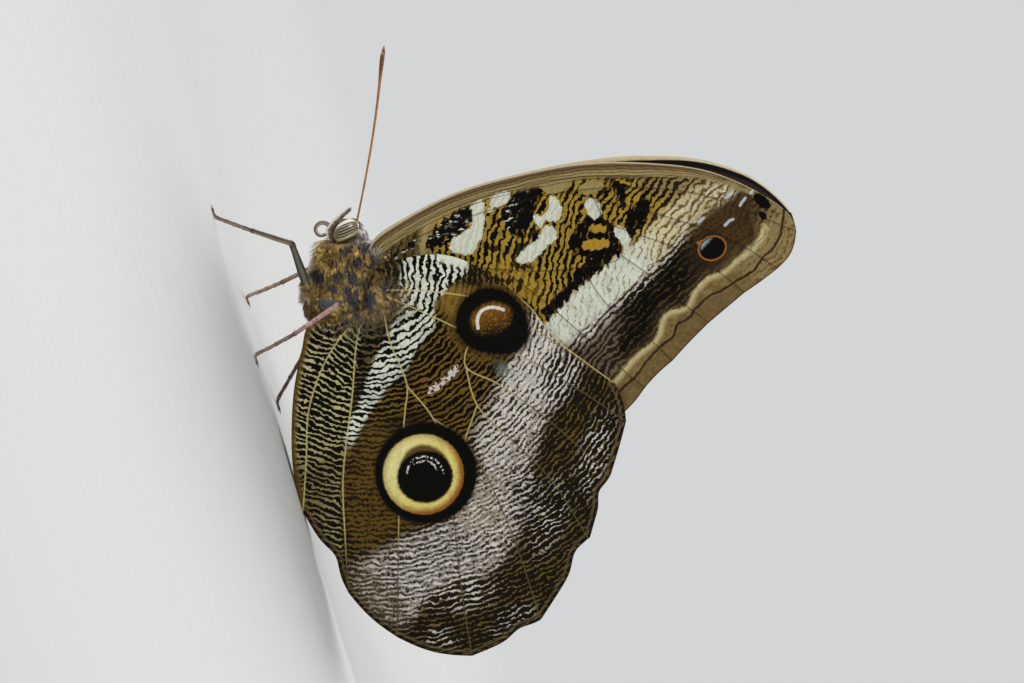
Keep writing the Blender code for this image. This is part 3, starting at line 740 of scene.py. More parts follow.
FAR_OUT = ((40.0, 50.0), (40.0, 120.0), (-14.0, 120.0))
ROOT_STREAK = ((-24.6, 42.0), (-22.9, 36.6), (-20.6, 35.0), (-17.6, 34.0))


def forewing_zones(spots, band, beyond, sub, tan, costa):
    x, z = spots.T
    zones = Zones(spots, "gold", "ink", 0.47)
    zones.lay(36.0 - z - 0.35 * (x + 20), 1.5, "olive", "apex_dark", 0.42)
    zones.lay(brush(spots, ROOT_STREAK, 1.5), 0.5, "khaki_cream", "khaki_cream", 0.2)
    zones.oval((-8.2, 48.5), (3.6, 4.4), -35, 1.5, "gold", "old_gold", 0.36)
    zones.oval((-18.0, 83.0), (3.2, 9.0), -22, 2.0, "khaki", "sepia", 0.5)
    zones.lay(beyond, 0.5, "grey_brown", "sepia", 0.55)
    zones.oval((-4.0, 72.0), (3.4, 9.0), 32, 1.2, "grey_white", "sepia", 0.5, within=beyond, crest=0.9)
    zones.lay(overlap(beyond - 1.6, 84.5 - z, (z - 63.0) * 0.6), 1.2, "apex_brown", "ink", 0.82)
    zones.oval((5.2, 60.5), (3.6, 5.4), 32, 1.5, "grey_brown", "sepia", 0.5, within=beyond)
    zones.oval((2.2, 60.0), (2.2, 6.0), 30, 1.2, "grey_white", "gap_brown", 0.4, crest=0.8)
    zones.oval((-5.6, 90.4), (7.6, 9.4), 12, 1.5, "apex_brown", "apex_dark", 0.4,
               within=beyond + 0.4, grit=0.9)
    zones.oval((-5.4, 96.6), (5.6, 2.6), -10, 2.2, "khaki", "apex_brown", 0.4, 0.8, within=beyond, grit=0.7)
    zones.oval((-3.4, 83.4), (3.6, 4.2), 20, 1.6, "apex_dark", "sepia", 0.5, 0.8, grit=0.6)
    zones.lay(band, 0.3, "chalk", "grey_tan", 0.2)
    zones.lay(overlap(band + 0.4, (z - 74.0) * 0.4), 1.4, "cream", "costal_tan", 0.28, crest=0.35)
    zones.lay(overlap(band + 0.4, (z - 84.0) * 0.4), 1.4, "khaki_cream", "surround", 0.36, crest=0.7)
    zones.lay(tan, 0.16, "khaki", "grey_brown", 0.3, grit=0.5)
    zones.lay(0.55 - np.abs(tan - 0.45), 0.25, "cream", "khaki_cream", 0.3, 0.8)
    zones.lay(overlap(tan, 89.0 - z) - 0.2, 3.0, "khaki", "costal_tan", 0.35, 0.6, grit=0.5)
    zones.lay(sub, 0.4, "khaki", "costal_tan", 0.45, grit=0.6)
    zones.lay(2.75 - costa, 0.3, "khaki_cream", "khaki_cream", 0.3)
    zones.lay(1.35 - costa, 0.3, "costal_tan", "costal_tan", 0.3)
    return zones.fields()


print("the forewing's zones reach out to", FAR_OUT[1])

# %% Forewing fields
def edge_gaps(spots, edge, parts, lines):
    """Distances to the outer edge, to the whole margin and to the nearest vein."""
    return {"rim": line_gap(spots, parts["outer"]), "margin": loop_gap(spots, edge),
            "vein": np.min([line_gap(spots, line) for line in lines], axis=0)}


def forewing_fields(spots, edge, parts, lines):
    """Every distance and colour that the forewing's finish reads."""
    x, z = spots.T
    band_loop = list(smooth_path(BAND_LEFT, 0.6)) + list(smooth_path(BAND_RIGHT, 0.6))[::-1]
    band = patch(spots, band_loop, rounded=False)
    beyond, sub, tan = (sided(spots, line, FAR_OUT) for line in (BAND_RIGHT, SUB_LINE, TAN_EDGE))
    costa = line_gap(spots, parts["front"][:int(len(parts["front"]) * 0.97)])
    costa = costa / (1.0 - 0.68 * np.clip((z - 74.0) / 22.0, 0.0, 1.0))
    fields = forewing_zones(spots, band, beyond, sub, tan, costa)
    fields.update(edge_gaps(spots, edge, parts, lines))
    fields.update(
        phase=-np.hypot(x - 12.0, z - 99.5) / 1.22,
        phase_out=fields["rim"] / 1.1,
        beyond=beyond, band=band, sub=sub, tan=tan, costa=costa, height=z,
        chalk=shapes(spots, WHITE_PATCHES, [WHITE_DOT]),
        ink=shapes(spots, INK_PATCHES, INK_OVALS),
        gold=shapes(spots, (), GOLD_OVALS),
        khaki=shapes(spots, KHAKI_PATCHES),
        glint=strokes(spots, LUNULES, 0.5),
        tip_spot=shapes(spots, (), TIP_SPOT),
        gild=overlap(-beyond - 5.0, costa - 3.6, z - 40.0, 84.0 - z),
        eye=oval(spots, EYESPOT, (2.0, 2.4), 8),
        ring=shapes(spots, (), [(EYESPOT, (EYESPOT_RIM, 2.7), 8), ((-5.9, 83.0), (0.45, 0.9), -40)]),
        shine=((EYESPOT[0] - x) * 0.85 + (EYESPOT[1] - z) * 0.53) / EYESPOT_RIM)
    return fields


FORE_FIELDS = forewing_fields(NETS["forewing"][0], *WINGS["forewing"])
print("forewing fields:", sorted(FORE_FIELDS))

# %% [markdown]
# ## Painting by distance: the hindwing
# The hindwing carries the owl's eye: a black pupil with a brown crescent, in a yellow ring in a
# black ring, each a circle or an oval of its own, not quite on one centre. A second, oval eyespot
# lies near the front edge. A white band with zig-zag lines crosses the wing, and the far zones are
# dark with ochre waves.

# %% Shapes on the hindwing
STRIPE_ZONE = ((-18.6, 31.0), (-18.4, 35.0), (-17.4, 38.0), (-15.5, 41.4), (-13.0, 41.2), (-11.8, 38.8),
               (-10.2, 35.8), (-8.4, 33.2), (-5.6, 32.8), (-3.6, 31.4), (-2.2, 28.8), (0.0, 26.6),
               (2.2, 24.6), (3.4, 21.8), (6.0, 18.2), (9.4, 14.4), (12.0, 11.6), (11.0, 10.8),
               (8.0, 12.6), (4.2, 15.8), (1.0, 18.0), (-1.6, 20.0), (-4.2, 22.4), (-6.2, 24.4),
               (-8.6, 26.0), (-11.6, 27.6), (-14.4, 28.6))
PLAIN_WHITE = ((-16.1, 41.2), (-13.4, 41.0), (-14.4, 39.0), (-16.4, 36.4), (-17.5, 36.6), (-17.0, 39.0))
UPPER_DARK = ((-8.9, 41.8), (-7.8, 45.8), (-4.8, 48.2), (-1.0, 49.0), (2.4, 47.8), (3.9, 44.8),
              (2.8, 40.6), (0.4, 37.2), (-3.4, 36.1), (-7.0, 37.8))
DISC_ZONE = ((-8.0, 34.0), (-4.0, 35.0), (0.0, 36.5), (6.0, 40.0), (13.0, 38.0), (17.5, 34.0),
             (14.0, 28.0), (10.5, 22.0), (10.0, 16.0), (6.0, 18.0), (2.0, 25.0), (-4.0, 31.0))
GREY_BAND = ((0.2, 50.4), (6.0, 54.6), (11.0, 54.0), (16.0, 48.5), (22.0, 44.0), (29.0, 40.0), (36.0, 36.5),
             (41.0, 31.0), (43.5, 24.0), (43.5, 17.0), (46.0, 12.0), (44.0, 8.0), (38.0, 5.4), (33.5, 7.0),
             (32.0, 12.0), (30.5, 18.0), (29.8, 24.0), (28.0, 29.0), (23.5, 33.2), (18.0, 34.6),
             (13.5, 38.0), (8.0, 41.6), (4.4, 45.2), (2.0, 48.0))
BAND_STREAK = ((1.5, 50.0), (7.0, 48.0), (13.0, 42.5), (18.5, 37.5))
ANAL_EDGE = ((-14.0, 23.0), (-11.2, 22.6), (-8.5, 20.2), (-4.0, 17.8), (4.0, 14.2), (10.0, 11.8),
             (17.6, 8.4), (27.5, 5.6), (38.0, 2.9))
ANAL_VEIN = ((-13.0, 23.6), (-8.9, 17.4), (-4.3, 11.8), (3.6, 6.3), (12.0, 3.4), (21.4, -0.5))
FAR_BELOW = ((38.0, -20.0), (-30.0, -20.0), (-30.0, 23.0))
FAR_BEHIND = ((60.0, -0.5), (60.0, 40.0), (-13.0, 40.0))
DASH = ((3.75, 34.0), (5.2, 32.0), (6.6, 28.6))
BLUE_SPOTS = (((6.4, 42.2), (1.5, 1.0), 25), ((2.1, 47.9), (1.0, 0.6), 20))
print("stripe zone corners:", len(STRIPE_ZONE), "grey band corners:", len(GREY_BAND))

# %% Hindwing zones
# each wave: centre, radii, tilt, soft edge, share of the dark lines, strength
OCHRE_WAVES = (
    ((34.5, 43.0), (6.0, 2.6), -35, 2.0, 0.7, 0.9),
    ((44.0, 24.0), (3.0, 6.0), 0, 1.5, 0.64, 0.8),
    ((51.0, 31.0), (2.0, 4.0), 15, 1.2, 0.66, 0.9),
    ((50.5, 17.5), (2.0, 3.0), -15, 1.2, 0.66, 0.8),
    ((26.0, 54.0), (7.0, 2.6), -30, 1.5, 0.68, 0.9),
)


def hindwing_zones(spots, stripes, low, rim, back):
    zones = Zones(spots, "ochre", "outer_dark", 0.69, grit=0.4)
    zones.lay(patch(spots, DISC_ZONE), 1.5, "disc_brown", "ink", 0.58)
    zones.lay(patch(spots, GREY_BAND), 1.6, "grey_white", "gap_brown", 0.4, crest=0.85, grit=1.0)
    zones.lay(brush(spots, BAND_STREAK, 8.0), 2.0, "band_white", "gap_brown", 0.38, 0.9, crest=0.8, grit=0.5)
    zones.oval((29.5, 38.5), (4.5, 4.0), -40, 2.0, "grey_white", "outer_dark", 0.6, 0.8, crest=0.7, grit=0.8)
    zones.oval((29.0, 31.0), (6.0, 4.5), -45, 2.0, "grey_tan", "gap_brown", 0.34, 0.8, crest=0.8, grit=1.0)
    zones.oval((36.5, 20.0), (4.5, 9.0), 10, 1.5, "lilac", "gap_brown", 0.42, 0.8, crest=0.85, grit=0.7)
    zones.oval((10.0, 52.5), (6.0, 3.0), -40, 1.5, "grey_white", "outer_dark", 0.5, 0.8, crest=0.9)
    zones.oval((19.4, 17.4), (10.8, 11.6), 0, 1.3, "surround", "surround_dark", 0.48, grit=0.6)
    zones.oval((21.0, 10.8), (11.4, 4.6), 0, 1.8, "surround", "surround_dark", 0.45, 0.9, grit=1.0)
    zones.oval((-2.6, 42.0), (7.4, 7.6), 20, 0.8, "surround", "surround_dark", 0.35, grit=0.8)
    zones.oval((-7.6, 38.2), (3.0, 4.4), -30, 1.0, "old_gold", "surround", 0.35, grit=0.5)
    for centre, radii, tilt, soft, share, strength in OCHRE_WAVES:
        zones.oval(centre, radii, tilt, soft, "ochre", "outer_dark", share, strength, crest=0.95, grit=0.4)
    zones.oval((40.0, 8.8), (6.6, 3.4), 25, 1.6, "corner_tan", "corner_brown", 0.56, crest=0.5, grit=0.95)
    zones.oval((-3.6, 19.6), (8.0, 3.4), -35, 0.8, "olive", "ink", 0.72)
    zones.oval((10.4, 24.0), (1.6, 5.4), 0, 1.2, "surround_dark", "ink", 0.6, 0.7)
    zones.lay(low, 0.5, "buff", "ink", 0.73)
    zones.lay(overlap(low, spots[:, 0] - 12.0), 6.0, "ochre", "outer_dark", 0.6, 0.8)
    zones.lay(stripes, 0.25, "chalk", "ink", 0.48)
    zones.lay(patch(spots, PLAIN_WHITE), 0.4, "chalk", "chalk", 0.2)
    zones.oval((-13.0, 23.6), (5.6, 4.2), 35, 1.2, "olive", "sepia", 0.5)
    zones.lay(0.9 - back, 0.4, "surround", "surround", 0.4)
    zones.lay(1.3 - rim, 0.5, "ochre", "outer_dark", 0.72)
    return zones.fields()


print("ochre waves near the outer edge:", len(OCHRE_WAVES))

# %% Hindwing fields
def ring_phase(spots, centre, near, far, turn):
    """Ripple phase by distance from a centre, whose spacing goes from near to far mm."""
    reach = np.linspace(0.0, 90.0, 901)
    share = np.clip((reach - turn) / 7.0, 0.0, 1.0)
    rate = 1.0 / near + (1.0 / far - 1.0 / near) * share * share * (3 - 2 * share)
    phase = np.concatenate(((0.0,), np.cumsum((rate[1:] + rate[:-1]) * 0.05)))
    return np.interp(np.hypot(spots[:, 0] - centre[0], spots[:, 1] - centre[1]), reach, phase)


def hindwing_fields(spots, edge, parts, lines):
    """Every distance and colour that the hindwing's finish reads."""
    x, z = spots.T
    gaps = edge_gaps(spots, edge, parts, lines)
    back = line_gap(spots, parts["back"])
    stripes = patch(spots, STRIPE_ZONE)
    low = sided(spots, ANAL_EDGE, FAR_BELOW)
    fields = hindwing_zones(spots, stripes, low, gaps["rim"], back)
    fields.update(gaps)
    fields.update(
        phase=ring_phase(spots, (-17.0, 24.0), 1.3, 0.97, 13.0),
        phase_low=np.hypot(x + 12.5, z - 15.5) / 1.02,
        phase_mid=np.hypot(x + 10.2, z - 22.0) / 1.02,
        low=low, stripes=stripes, back=back, front=line_gap(spots, parts["front"]),
        sector=sided(spots, ANAL_VEIN, FAR_BEHIND),
        dash=brush(spots, DASH, 1.15),
        arcs=np.maximum(strokes(spots, EYE_ARCS, 0.34), brush(spots, UPPER_CRESCENT, 0.6)),
        blue=shapes(spots, (), BLUE_SPOTS),
        upper=patch(spots, UPPER_DARK), upper_pupil=oval(spots, (-3.1, 42.7), (2.9, 3.75), 5),
        upper_side=(x + 3.0) / 3.0,
        pupil=oval(spots, (21.3, 23.15), (4.75, 5.15)),
        crescent=oval(spots, (20.75, 23.4), (5.35, 4.75)),
        yellow=7.35 - np.hypot(x - 20.8, z - 23.0),
        black=9.25 - np.hypot(x - 20.65, z - 23.5),
        side=(x - 20.5) / 9.0, height=(z - 23.0) / 9.0)
    return fields


HIND_FIELDS = hindwing_fields(NETS["hindwing"][0], *WINGS["hindwing"])
print("hindwing fields:", sorted(HIND_FIELDS))

# %% [markdown]
# ## The painted underside
# On the real wing the ripples are rows of overlapping scales, so their edges are never quite
# straight. Here a sine of the painted phase makes the lines, clouds of noise bend and break them,
# and the share field says how wide they are. Patches, rings and marginal lines come from their
# distances, jittered by the same ripples. A fine layer of cells gives the powdery scale rows in
# the bump, and fine dust changes tone and gloss a little.

# %% Ripples and scales
SCALE_WIDTH = 0.16
CREST_WHITE = (218, 215, 208)


class WingRecipe(Recipe):
    """A finish whose crisp edges borrow the wave of the ripples."""

    def ripple(self, phase, drift):
        """Ground and ripple colours; drift says how much the ripples' widths vary."""
        bent = self.add(phase, self.noise(6.5, 1.0, gain=1.7))
        bent = self.add(bent, self.noise(2.0, 2.0, 0.55, shift=3.0, gain=1.7))
        bent = self.add(bent, self.noise(0.95, 2.0, 0.6, shift=13.0, gain=0.85))
        self.wave = self.sine(bent)
        broken = self.add(self.wave, self.noise(0.8, 2.0, 0.65, shift=7.0, gain=2.5))
        gritty = self.times(self.noise(0.5, 2.0, 0.7, shift=17.0), self.times(self.field("grit"), 5.0))
        calm = self.add(1.0, self.times(self.field("grit"), -0.5))
        broken = self.add(self.times(broken, calm), gritty)
        over = self.minus(broken, self.field("level"))
        over = self.add(over, self.noise(4.5, 2.0, 0.6, shift=23.0, gain=drift))
        self.dark = self.step(over, -0.22, 0.3)
        deep = self.mix(0.45, self.tint("ground"), self.tint("lines"))
        cloud = self.noise(2.6, 3.0, 0.65, shift=11.0)
        self.colour = self.mix(self.step(cloud, -0.05, 0.25), self.tint("ground"), deep)
        flakes = self.add(self.noise(0.7, 2.0, 0.6, shift=19.0, gain=3.0),
                          self.noise(2.0, 2.0, 0.6, shift=29.0, gain=3.0))
        crest = self.step(self.add(self.times(self.wave, -1.0), flakes), 0.35, 1.1)
        self.lay(self.times(crest, self.field("crest")), CREST_WHITE)
        self.lay(self.dark, self.tint("lines"))

    def choose(self, one, two, name):
        """One phase on the near side of a border, the other beyond it."""
        side = self.math("GREATER_THAN", self.field(name), 0.0)
        return self.add(one, self.times(side, self.minus(two, one)))

    def jagged(self, name, wobble=0.22, soft=0.1):
        """A crisp shape whose edge follows the scale rows a little."""
        depth = self.add(self.field(name), self.noise(0.9, 2.0, 0.6, shift=5.0, gain=wobble * 2.6))
        depth = self.add(depth, self.times(self.wave, wobble * 0.5))
        return self.step(depth, -soft, soft)

    def scaly(self, roughness=0.74):
        """Powdery scales in colour, bump and gloss; the shared end of every wing finish."""
        scales = self.cells(SCALE_WIDTH, (1.0, 1.0, 1.35))
        dust = self.noise(0.3, 2.0, 0.65, shift=2.0)
        self.brighten(self.add(1.0, self.add(self.times(dust, 0.7), self.times(scales, -0.2))))
        self.bump(self.add(self.times(scales, -0.5), self.times(self.wave, 0.3)), 0.05, 0.5)
        return self.finish(self.add(roughness, self.times(dust, 0.25)), Sheen_Weight=0.01,
                           Sheen_Roughness=0.5, Specular_IOR_Level=0.07)


print("a scale is", SCALE_WIDTH, "mm wide")

# %% Forewing underside
def tan_margin(paint):
    """Mottled tan of the outer margin, pale along its inner line and darker beyond the next."""
    mottle = paint.step(paint.noise(0.9, 3.0, 0.65, shift=15.0), -0.16, 0.2)
    tone = paint.blend(mottle, (104, 85, 50), (136, 115, 70))
    tone = paint.blend(paint.times(paint.ramp("tan", 1.3, 0.2), 0.75), tone, (204, 190, 138))
    return paint.blend(paint.times(paint.ramp("sub", -0.2, 0.8), 0.5), tone, (98, 79, 47))


def gilded_ink(paint):
    """Black fields with fine gold lines, gilded blots and white flecks."""
    ink = paint.times(paint.jagged("ink", 0.6, 0.12), paint.ramp("costa", 2.2, 3.4))
    here = paint.step(paint.noise(1.6, 2.0, shift=6.0), 0.02, 0.14)
    gold_line = paint.times(paint.step(paint.wave, 0.5, 0.9), here)
    paint.lay(ink, paint.blend(gold_line, "ink", (120, 92, 36)))
    blot = paint.add(paint.noise(3.4, 2.0, 0.6, shift=21.0), paint.times(paint.wave, 0.05))
    gild = paint.times(paint.ramp("gild", 0.0, 1.2), 0.92)
    paint.lay(paint.times(paint.step(blot, 0.1, 0.15), gild), "ink")
    flecks = paint.step(paint.noise(0.6, 2.0, 0.6, (1, 1, 2.6), 9.0), 0.08, 0.16)
    flecks = paint.times(flecks, paint.ramp("phase", -46.0, -47.5))
    paint.lay(paint.times(ink, flecks), "chalk", 0.9)


def front_streaks(paint):
    """Brown streaks along the front edge, and its cream line."""
    costa = paint.field("costa")
    streaks = paint.math("SINE", paint.add(paint.times(costa, 11.0), paint.noise(4.0, 3.0, gain=9.0)))
    paint.lay(paint.times(paint.step(costa, 3.6, 3.0), paint.step(streaks, 0.35, 0.95)), "line_brown", 0.72)
    paint.lay(paint.step(costa, 0.34, 0.16), "cream_edge", 0.85)


def small_eyespot(paint):
    """The forewing's eyespot in its brown ring, with a bluish shine, and the black spot at the tip."""
    paint.lay(paint.jagged("ring", 0.05, 0.08), (150, 98, 42))
    paint.lay(paint.jagged("eye", 0.04, 0.07), (6, 6, 5))
    paint.lay(paint.jagged("tip_spot", 0.08, 0.1), (3, 3, 2))
    shine = paint.ramp("shine", 0.42, 0.8, paint.noise(0.5, 2.0, gain=0.3))
    paint.lay(paint.times(shine, paint.ramp("eye", 0.08, 0.3)), (158, 178, 196), 0.9)


def forewing_underside():
    paint = WingRecipe("forewing_scales_underside")
    paint.ripple(paint.choose(paint.field("phase"), paint.field("phase_out"), "beyond"), 0.8)
    paint.lay(paint.times(paint.jagged("tan", 0.3), paint.ramp("height", 93.0, 86.0)), tan_margin(paint))
    gilded_ink(paint)
    paint.lay(paint.jagged("gold", 0.3), (170, 134, 46))
    paint.lay(paint.jagged("khaki", 0.3), "khaki_cream", 0.9)
    paint.lay(paint.jagged("chalk", 0.32), paint.blend(paint.times(paint.dark, 0.2), "chalk", "grey_brown"))
    front_streaks(paint)
    paint.lay(paint.ramp("vein", 0.2, 0.08), "line_brown", 0.55)
    sub = paint.math("ABSOLUTE", paint.add(paint.field("sub"), paint.noise(1.6, 2.0, gain=0.7)))
    paint.lay(paint.step(sub, 0.34, 0.14), "line_brown", 0.92)
    paint.lay(paint.ramp("rim", 0.3, 0.12), "apex_dark", 0.7)
    small_eyespot(paint)
    paint.lay(paint.jagged("glint", 0.1, 0.14), (188, 200, 204), 0.9)
    return paint.scaly()


print("the forewing finish draws", len(WHITE_PATCHES), "white patches over", len(INK_PATCHES), "black ones")

# %% Hindwing underside
def hindwing_lines(paint):
    """Veins, the pale front line, the lines along the outer edge, and the small pale marks."""
    pale_vein = paint.blend(paint.ramp("stripes", -24.0, -13.0), (84, 74, 44), (196, 182, 116))
    paint.lay(paint.ramp("vein", 0.2, 0.07), pale_vein, 0.75)
    front = paint.times(paint.ramp("front", 0.3, 0.12), paint.ramp("height", 2.7, 3.0))
    paint.lay(front, (190, 170, 108), 0.8)
    line = paint.math("ABSOLUTE", paint.add(paint.field("rim"), -0.85))
    paint.lay(paint.step(line, 0.3, 0.12), "grey_brown", 0.45)
    paint.lay(paint.ramp("rim", 0.3, 0.12), "line_brown")
    flaked = paint.step(paint.noise(0.6, 2.0, 0.6, shift=14.0), -0.12, 0.0)
    paint.lay(paint.times(paint.jagged("dash", 0.4), flaked), (206, 196, 190))
    paint.lay(paint.jagged("blue", 0.5, 0.5), (110, 120, 116), 0.6)


def upper_eyespot(paint, speck):
    """The oval eyespot near the front edge: a dark field and a bronze pupil that fades to one side."""
    paint.lay(paint.ramp("upper", -1.1, 0.1, paint.noise(2.0, 2.0, gain=0.8)), (44, 28, 10), 0.75)
    paint.lay(paint.jagged("upper", 0.2, 0.2), "ink")
    fade = paint.ramp("upper_side", -0.5, 0.9, paint.noise(0.9, 2.0, gain=0.9))
    bronze = paint.blend(fade, (112, 73, 20), (32, 21, 8))
    bronze = paint.blend(paint.times(speck, 0.5), bronze, (164, 124, 46))
    paint.lay(paint.jagged("upper_pupil", 0.15, 0.5), bronze)


def owls_eye(paint, speck):
    """The owl's eye: a dark outer ring, a yellow ring with an orange rim, a brown crescent, a pupil."""
    paint.lay(paint.ramp("black", -0.9, 0.3, paint.noise(1.5, 2.0, gain=0.6)), (40, 27, 12), 0.8)
    paint.lay(paint.jagged("black", 0.12, 0.25), "ink")
    turned = paint.add(paint.field("side"), paint.times(paint.field("height"), 0.8))
    rim = paint.step(paint.add(turned, paint.noise(2.0, gain=0.4)), -0.7, 0.8)
    paint.lay(paint.jagged("yellow", 0.08, 0.14), paint.blend(rim, (176, 156, 90), (140, 86, 26)))
    grain = paint.blend(paint.times(speck, 0.3), (222, 206, 116), (206, 178, 86))
    grain = paint.blend(paint.times(paint.step(turned, 0.3, -1.0), 0.7), grain, (226, 222, 164))
    inner = paint.add(paint.field("yellow"), paint.times(rim, -0.55))
    paint.lay(paint.step(paint.add(inner, paint.noise(0.8, gain=0.5)), -0.35, 1.25), grain)
    paint.lay(paint.ramp("crescent", -0.35, 0.4, paint.noise(0.8, gain=0.4)), (78, 46, 14), 0.94)
    paint.lay(paint.jagged("pupil", 0.08, 0.28), (7, 7, 6))


def hindwing_underside():
    paint = WingRecipe("hindwing_scales_underside")
    low_phase = paint.choose(paint.field("phase_low"), paint.field("phase_mid"), "sector")
    paint.ripple(paint.choose(paint.field("phase"), low_phase, "low"), 1.7)
    hindwing_lines(paint)
    speck = paint.step(paint.noise(0.5, 2.0, 0.6, shift=9.0), 0.02, 0.16)
    upper_eyespot(paint, speck)
    owls_eye(paint, speck)
    dots = paint.step(paint.noise(0.34, 1.0, shift=4.0), -0.03, 0.05)
    dots = paint.math("ADD", dots, paint.ramp("side", -1.4, -1.7), clamp=True)
    paint.lay(paint.times(paint.jagged("arcs", 0.06, 0.1), dots), (218, 216, 204))
    return paint.scaly()


print("the owl's eye has", len(EYE_ARCS), "thin white arcs")

# %% [markdown]
# ## The hidden upper side
# The upper side can't be seen while the wings are closed, apart from slivers at the edges. On such
# a butterfly it is dusky brown with a violet-blue gloss near the body, and paler ochre toward the
# tip. The blue comes from how scales scatter light, so a tinted sheen carries it.

# %% Upper side finish
def upper_side(kind):
    paint = WingRecipe(kind + "_scales_upper_side")
    paint.wave = paint.noise(1.4, 2.0, shift=6.0)
    margin = paint.add(paint.field("margin"), paint.noise(3.0, 2.0, gain=3.0))
    out = paint.step(margin, 16.0, 5.0)
    if kind == "forewing":
        paint.colour = paint.blend(out, (62, 50, 66), (148, 110, 62))
        paint.lay(paint.step(margin, 4.5, 1.5), (58, 42, 30))
        paint.lay(paint.ramp("costa", 3.2, 2.2), (16, 13, 10))
        paint.lay(paint.ramp("costa", 1.0, 0.7), "cream_edge")
    else:
        paint.colour = paint.blend(out, (52, 54, 92), (34, 27, 24))
    paint.lay(paint.ramp("vein", 0.32, 0.14), (46, 36, 30), 0.6)
    mat = paint.scaly(0.6)
    paint.shader.inputs["Sheen Tint"].default_value = (0.35, 0.4, 1.0, 1.0)
    paint.shader.inputs["Sheen Weight"].default_value = 0.35
    return mat


FINISHES = {
    "forewing": (forewing_underside(), upper_side("forewing")),
    "hindwing": (hindwing_underside(), upper_side("hindwing")),
}
print("wing finishes:", [m.name for pair in FINISHES.values() for m in pair])

# %% [markdown]
# ## Making the wing sheets
# Each sheet has an outer and an inner skin joined along the margin. It is about a fifth of a
# millimetre thick, tapers to almost nothing at its edge, stands up along the veins, and thickens
# to a small hinge at the root. Its painted fields are stored on the points, and its bake map puts
# the outer skin on one half and the inner skin on the other, so no room is wasted.

# %% Wing sheets
def store(mesh, fields):
    """Writes every field on the points of a mesh: numbers as floats, colours as colours."""
    for name, values in fields.items():
        if values.ndim == 1:
            layer = mesh.attributes.new(name, "FLOAT", "POINT")
            layer.data.foreach_set("value", values.astype(np.float32))
        else:
            layer = mesh.attributes.new(name, "FLOAT_COLOR", "POINT")
            full = np.concatenate((values, np.ones((len(values), 1))), 1)
            layer.data.foreach_set("color", full.astype(np.float32).ravel())


def sheet_uv(places, kind):
    """Places on a wing in mm, turned into places on the left half of its bake map."""
    net, places = [p[:, ::-1] if kind == "hindwing" else p for p in (NETS[kind][0], places)]
    low = net.min(axis=0)
    size = net.max(axis=0) - low
    return (places - low) * min(0.475 / size[0], 0.97 / size[1]) + np.array((0.012, 0.015))


def sheet_map(mesh, spots, kind):
    """Bake map: outer skin on the left half, inner skin on the right half."""
    layer = mesh.uv_layers.new(name="OFBake")
    loops = np.zeros(len(mesh.loops), np.int32)
    mesh.loops.foreach_get("vertex_index", loops)
    out = sheet_uv(spots, kind)[loops % len(spots)]
    sides = np.zeros(len(mesh.polygons), np.int32)
    mesh.polygons.foreach_get("material_index", sides)
    totals = np.zeros(len(mesh.polygons), np.int32)
    mesh.polygons.foreach_get("loop_total", totals)
    out[:, 0] += 0.5 * np.repeat(sides, totals)
    layer.data.foreach_set("uv", out.astype(np.float32).ravel())


def sheet_half(spots, fields, hinge):
    """Half the thickness of a sheet in mm: membrane, veins and hinge, thin at the edge."""
    ridge = np.clip(1.0 - fields["vein"] / VEIN_HALF, 0.0, 1.0)
    half = 0.10 + 0.17 * ridge + 0.75 * bell(np.hypot(*(spots - np.array(hinge)).T), 2.2)
    return np.minimum(half, 0.035 + 0.22 * fields["margin"] + 0.05 * ridge)


def sheet_faces(faces, count, sign):
    """Outer triangles, the same below them, and a wall round the edge."""
    outer = [(a, b, c) if sign < 0 else (a, c, b) for a, b, c in faces]
    below = [(c + count, b + count, a + count) if sign < 0 else (b + count, c + count, a + count)
             for a, b, c in faces]
    sides = dict.fromkeys(side for a, b, c in faces for side in ((a, b), (b, c), (c, a)))
    wall = [(b, a, a + count, b + count) if sign < 0 else (a, b, b + count, a + count)
            for a, b in sides if (b, a) not in sides]
    return outer + below + wall, [0] * len(outer) + [1] * len(below) + [0] * len(wall)


def wing_sheet(name, kind, sign, offset, fields, hinge):
    spots, faces = NETS[kind]
    place = fore_lead(spots) if name == "forewing_right" else spots
    half = sheet_half(spots, fields, hinge)
    height = np.maximum(place[:, 1], 0.0)
    skins = [np.stack((place[:, 0], sign * (offset(spots) + s * half), height), 1) for s in (1, -1)]
    loops, skin_numbers = sheet_faces(faces, len(spots), sign)
    mesh = bpy.data.meshes.new(name)
    mesh.from_pydata((np.concatenate(skins) * MM).tolist(), [], loops)
    mesh.polygons.foreach_set("material_index", skin_numbers)
    mesh.polygons.foreach_set("use_smooth", [True] * len(mesh.polygons))
    sheet_map(mesh, spots, kind)
    store(mesh, {key: np.concatenate((value, value)) for key, value in fields.items()})
    for mat in FINISHES[kind]:
        mesh.materials.append(mat)
    piece = link_object(name + "_sheet", mesh)
    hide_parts(name)
    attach(piece, "root")
    return piece


for side, sign in SIDES.items():
    for kind, offset, fields, hinge in (("forewing", fore_offset, FORE_FIELDS, (-18.7, 24.6)),
                                        ("hindwing", hind_offset, HIND_FIELDS, (-12.8, 23.6))):
        sheet = wing_sheet(kind + "_" + side, kind, sign, offset, fields, hinge)
        print(sheet.name, len(sheet.data.polygons), "faces")

# %% [markdown]
# ## The body under the fur
# Head, chest and abdomen are one soft-looking form because dense hair hides the joints between
# them. So one skin is made for all three: lofts and a ball slightly smaller than the solids,
# melted together with a voxel remesh. The inset leaves room for the depth of the coat. The skin
# gets body coordinates, along and around its own axis, and these are also its bake map.

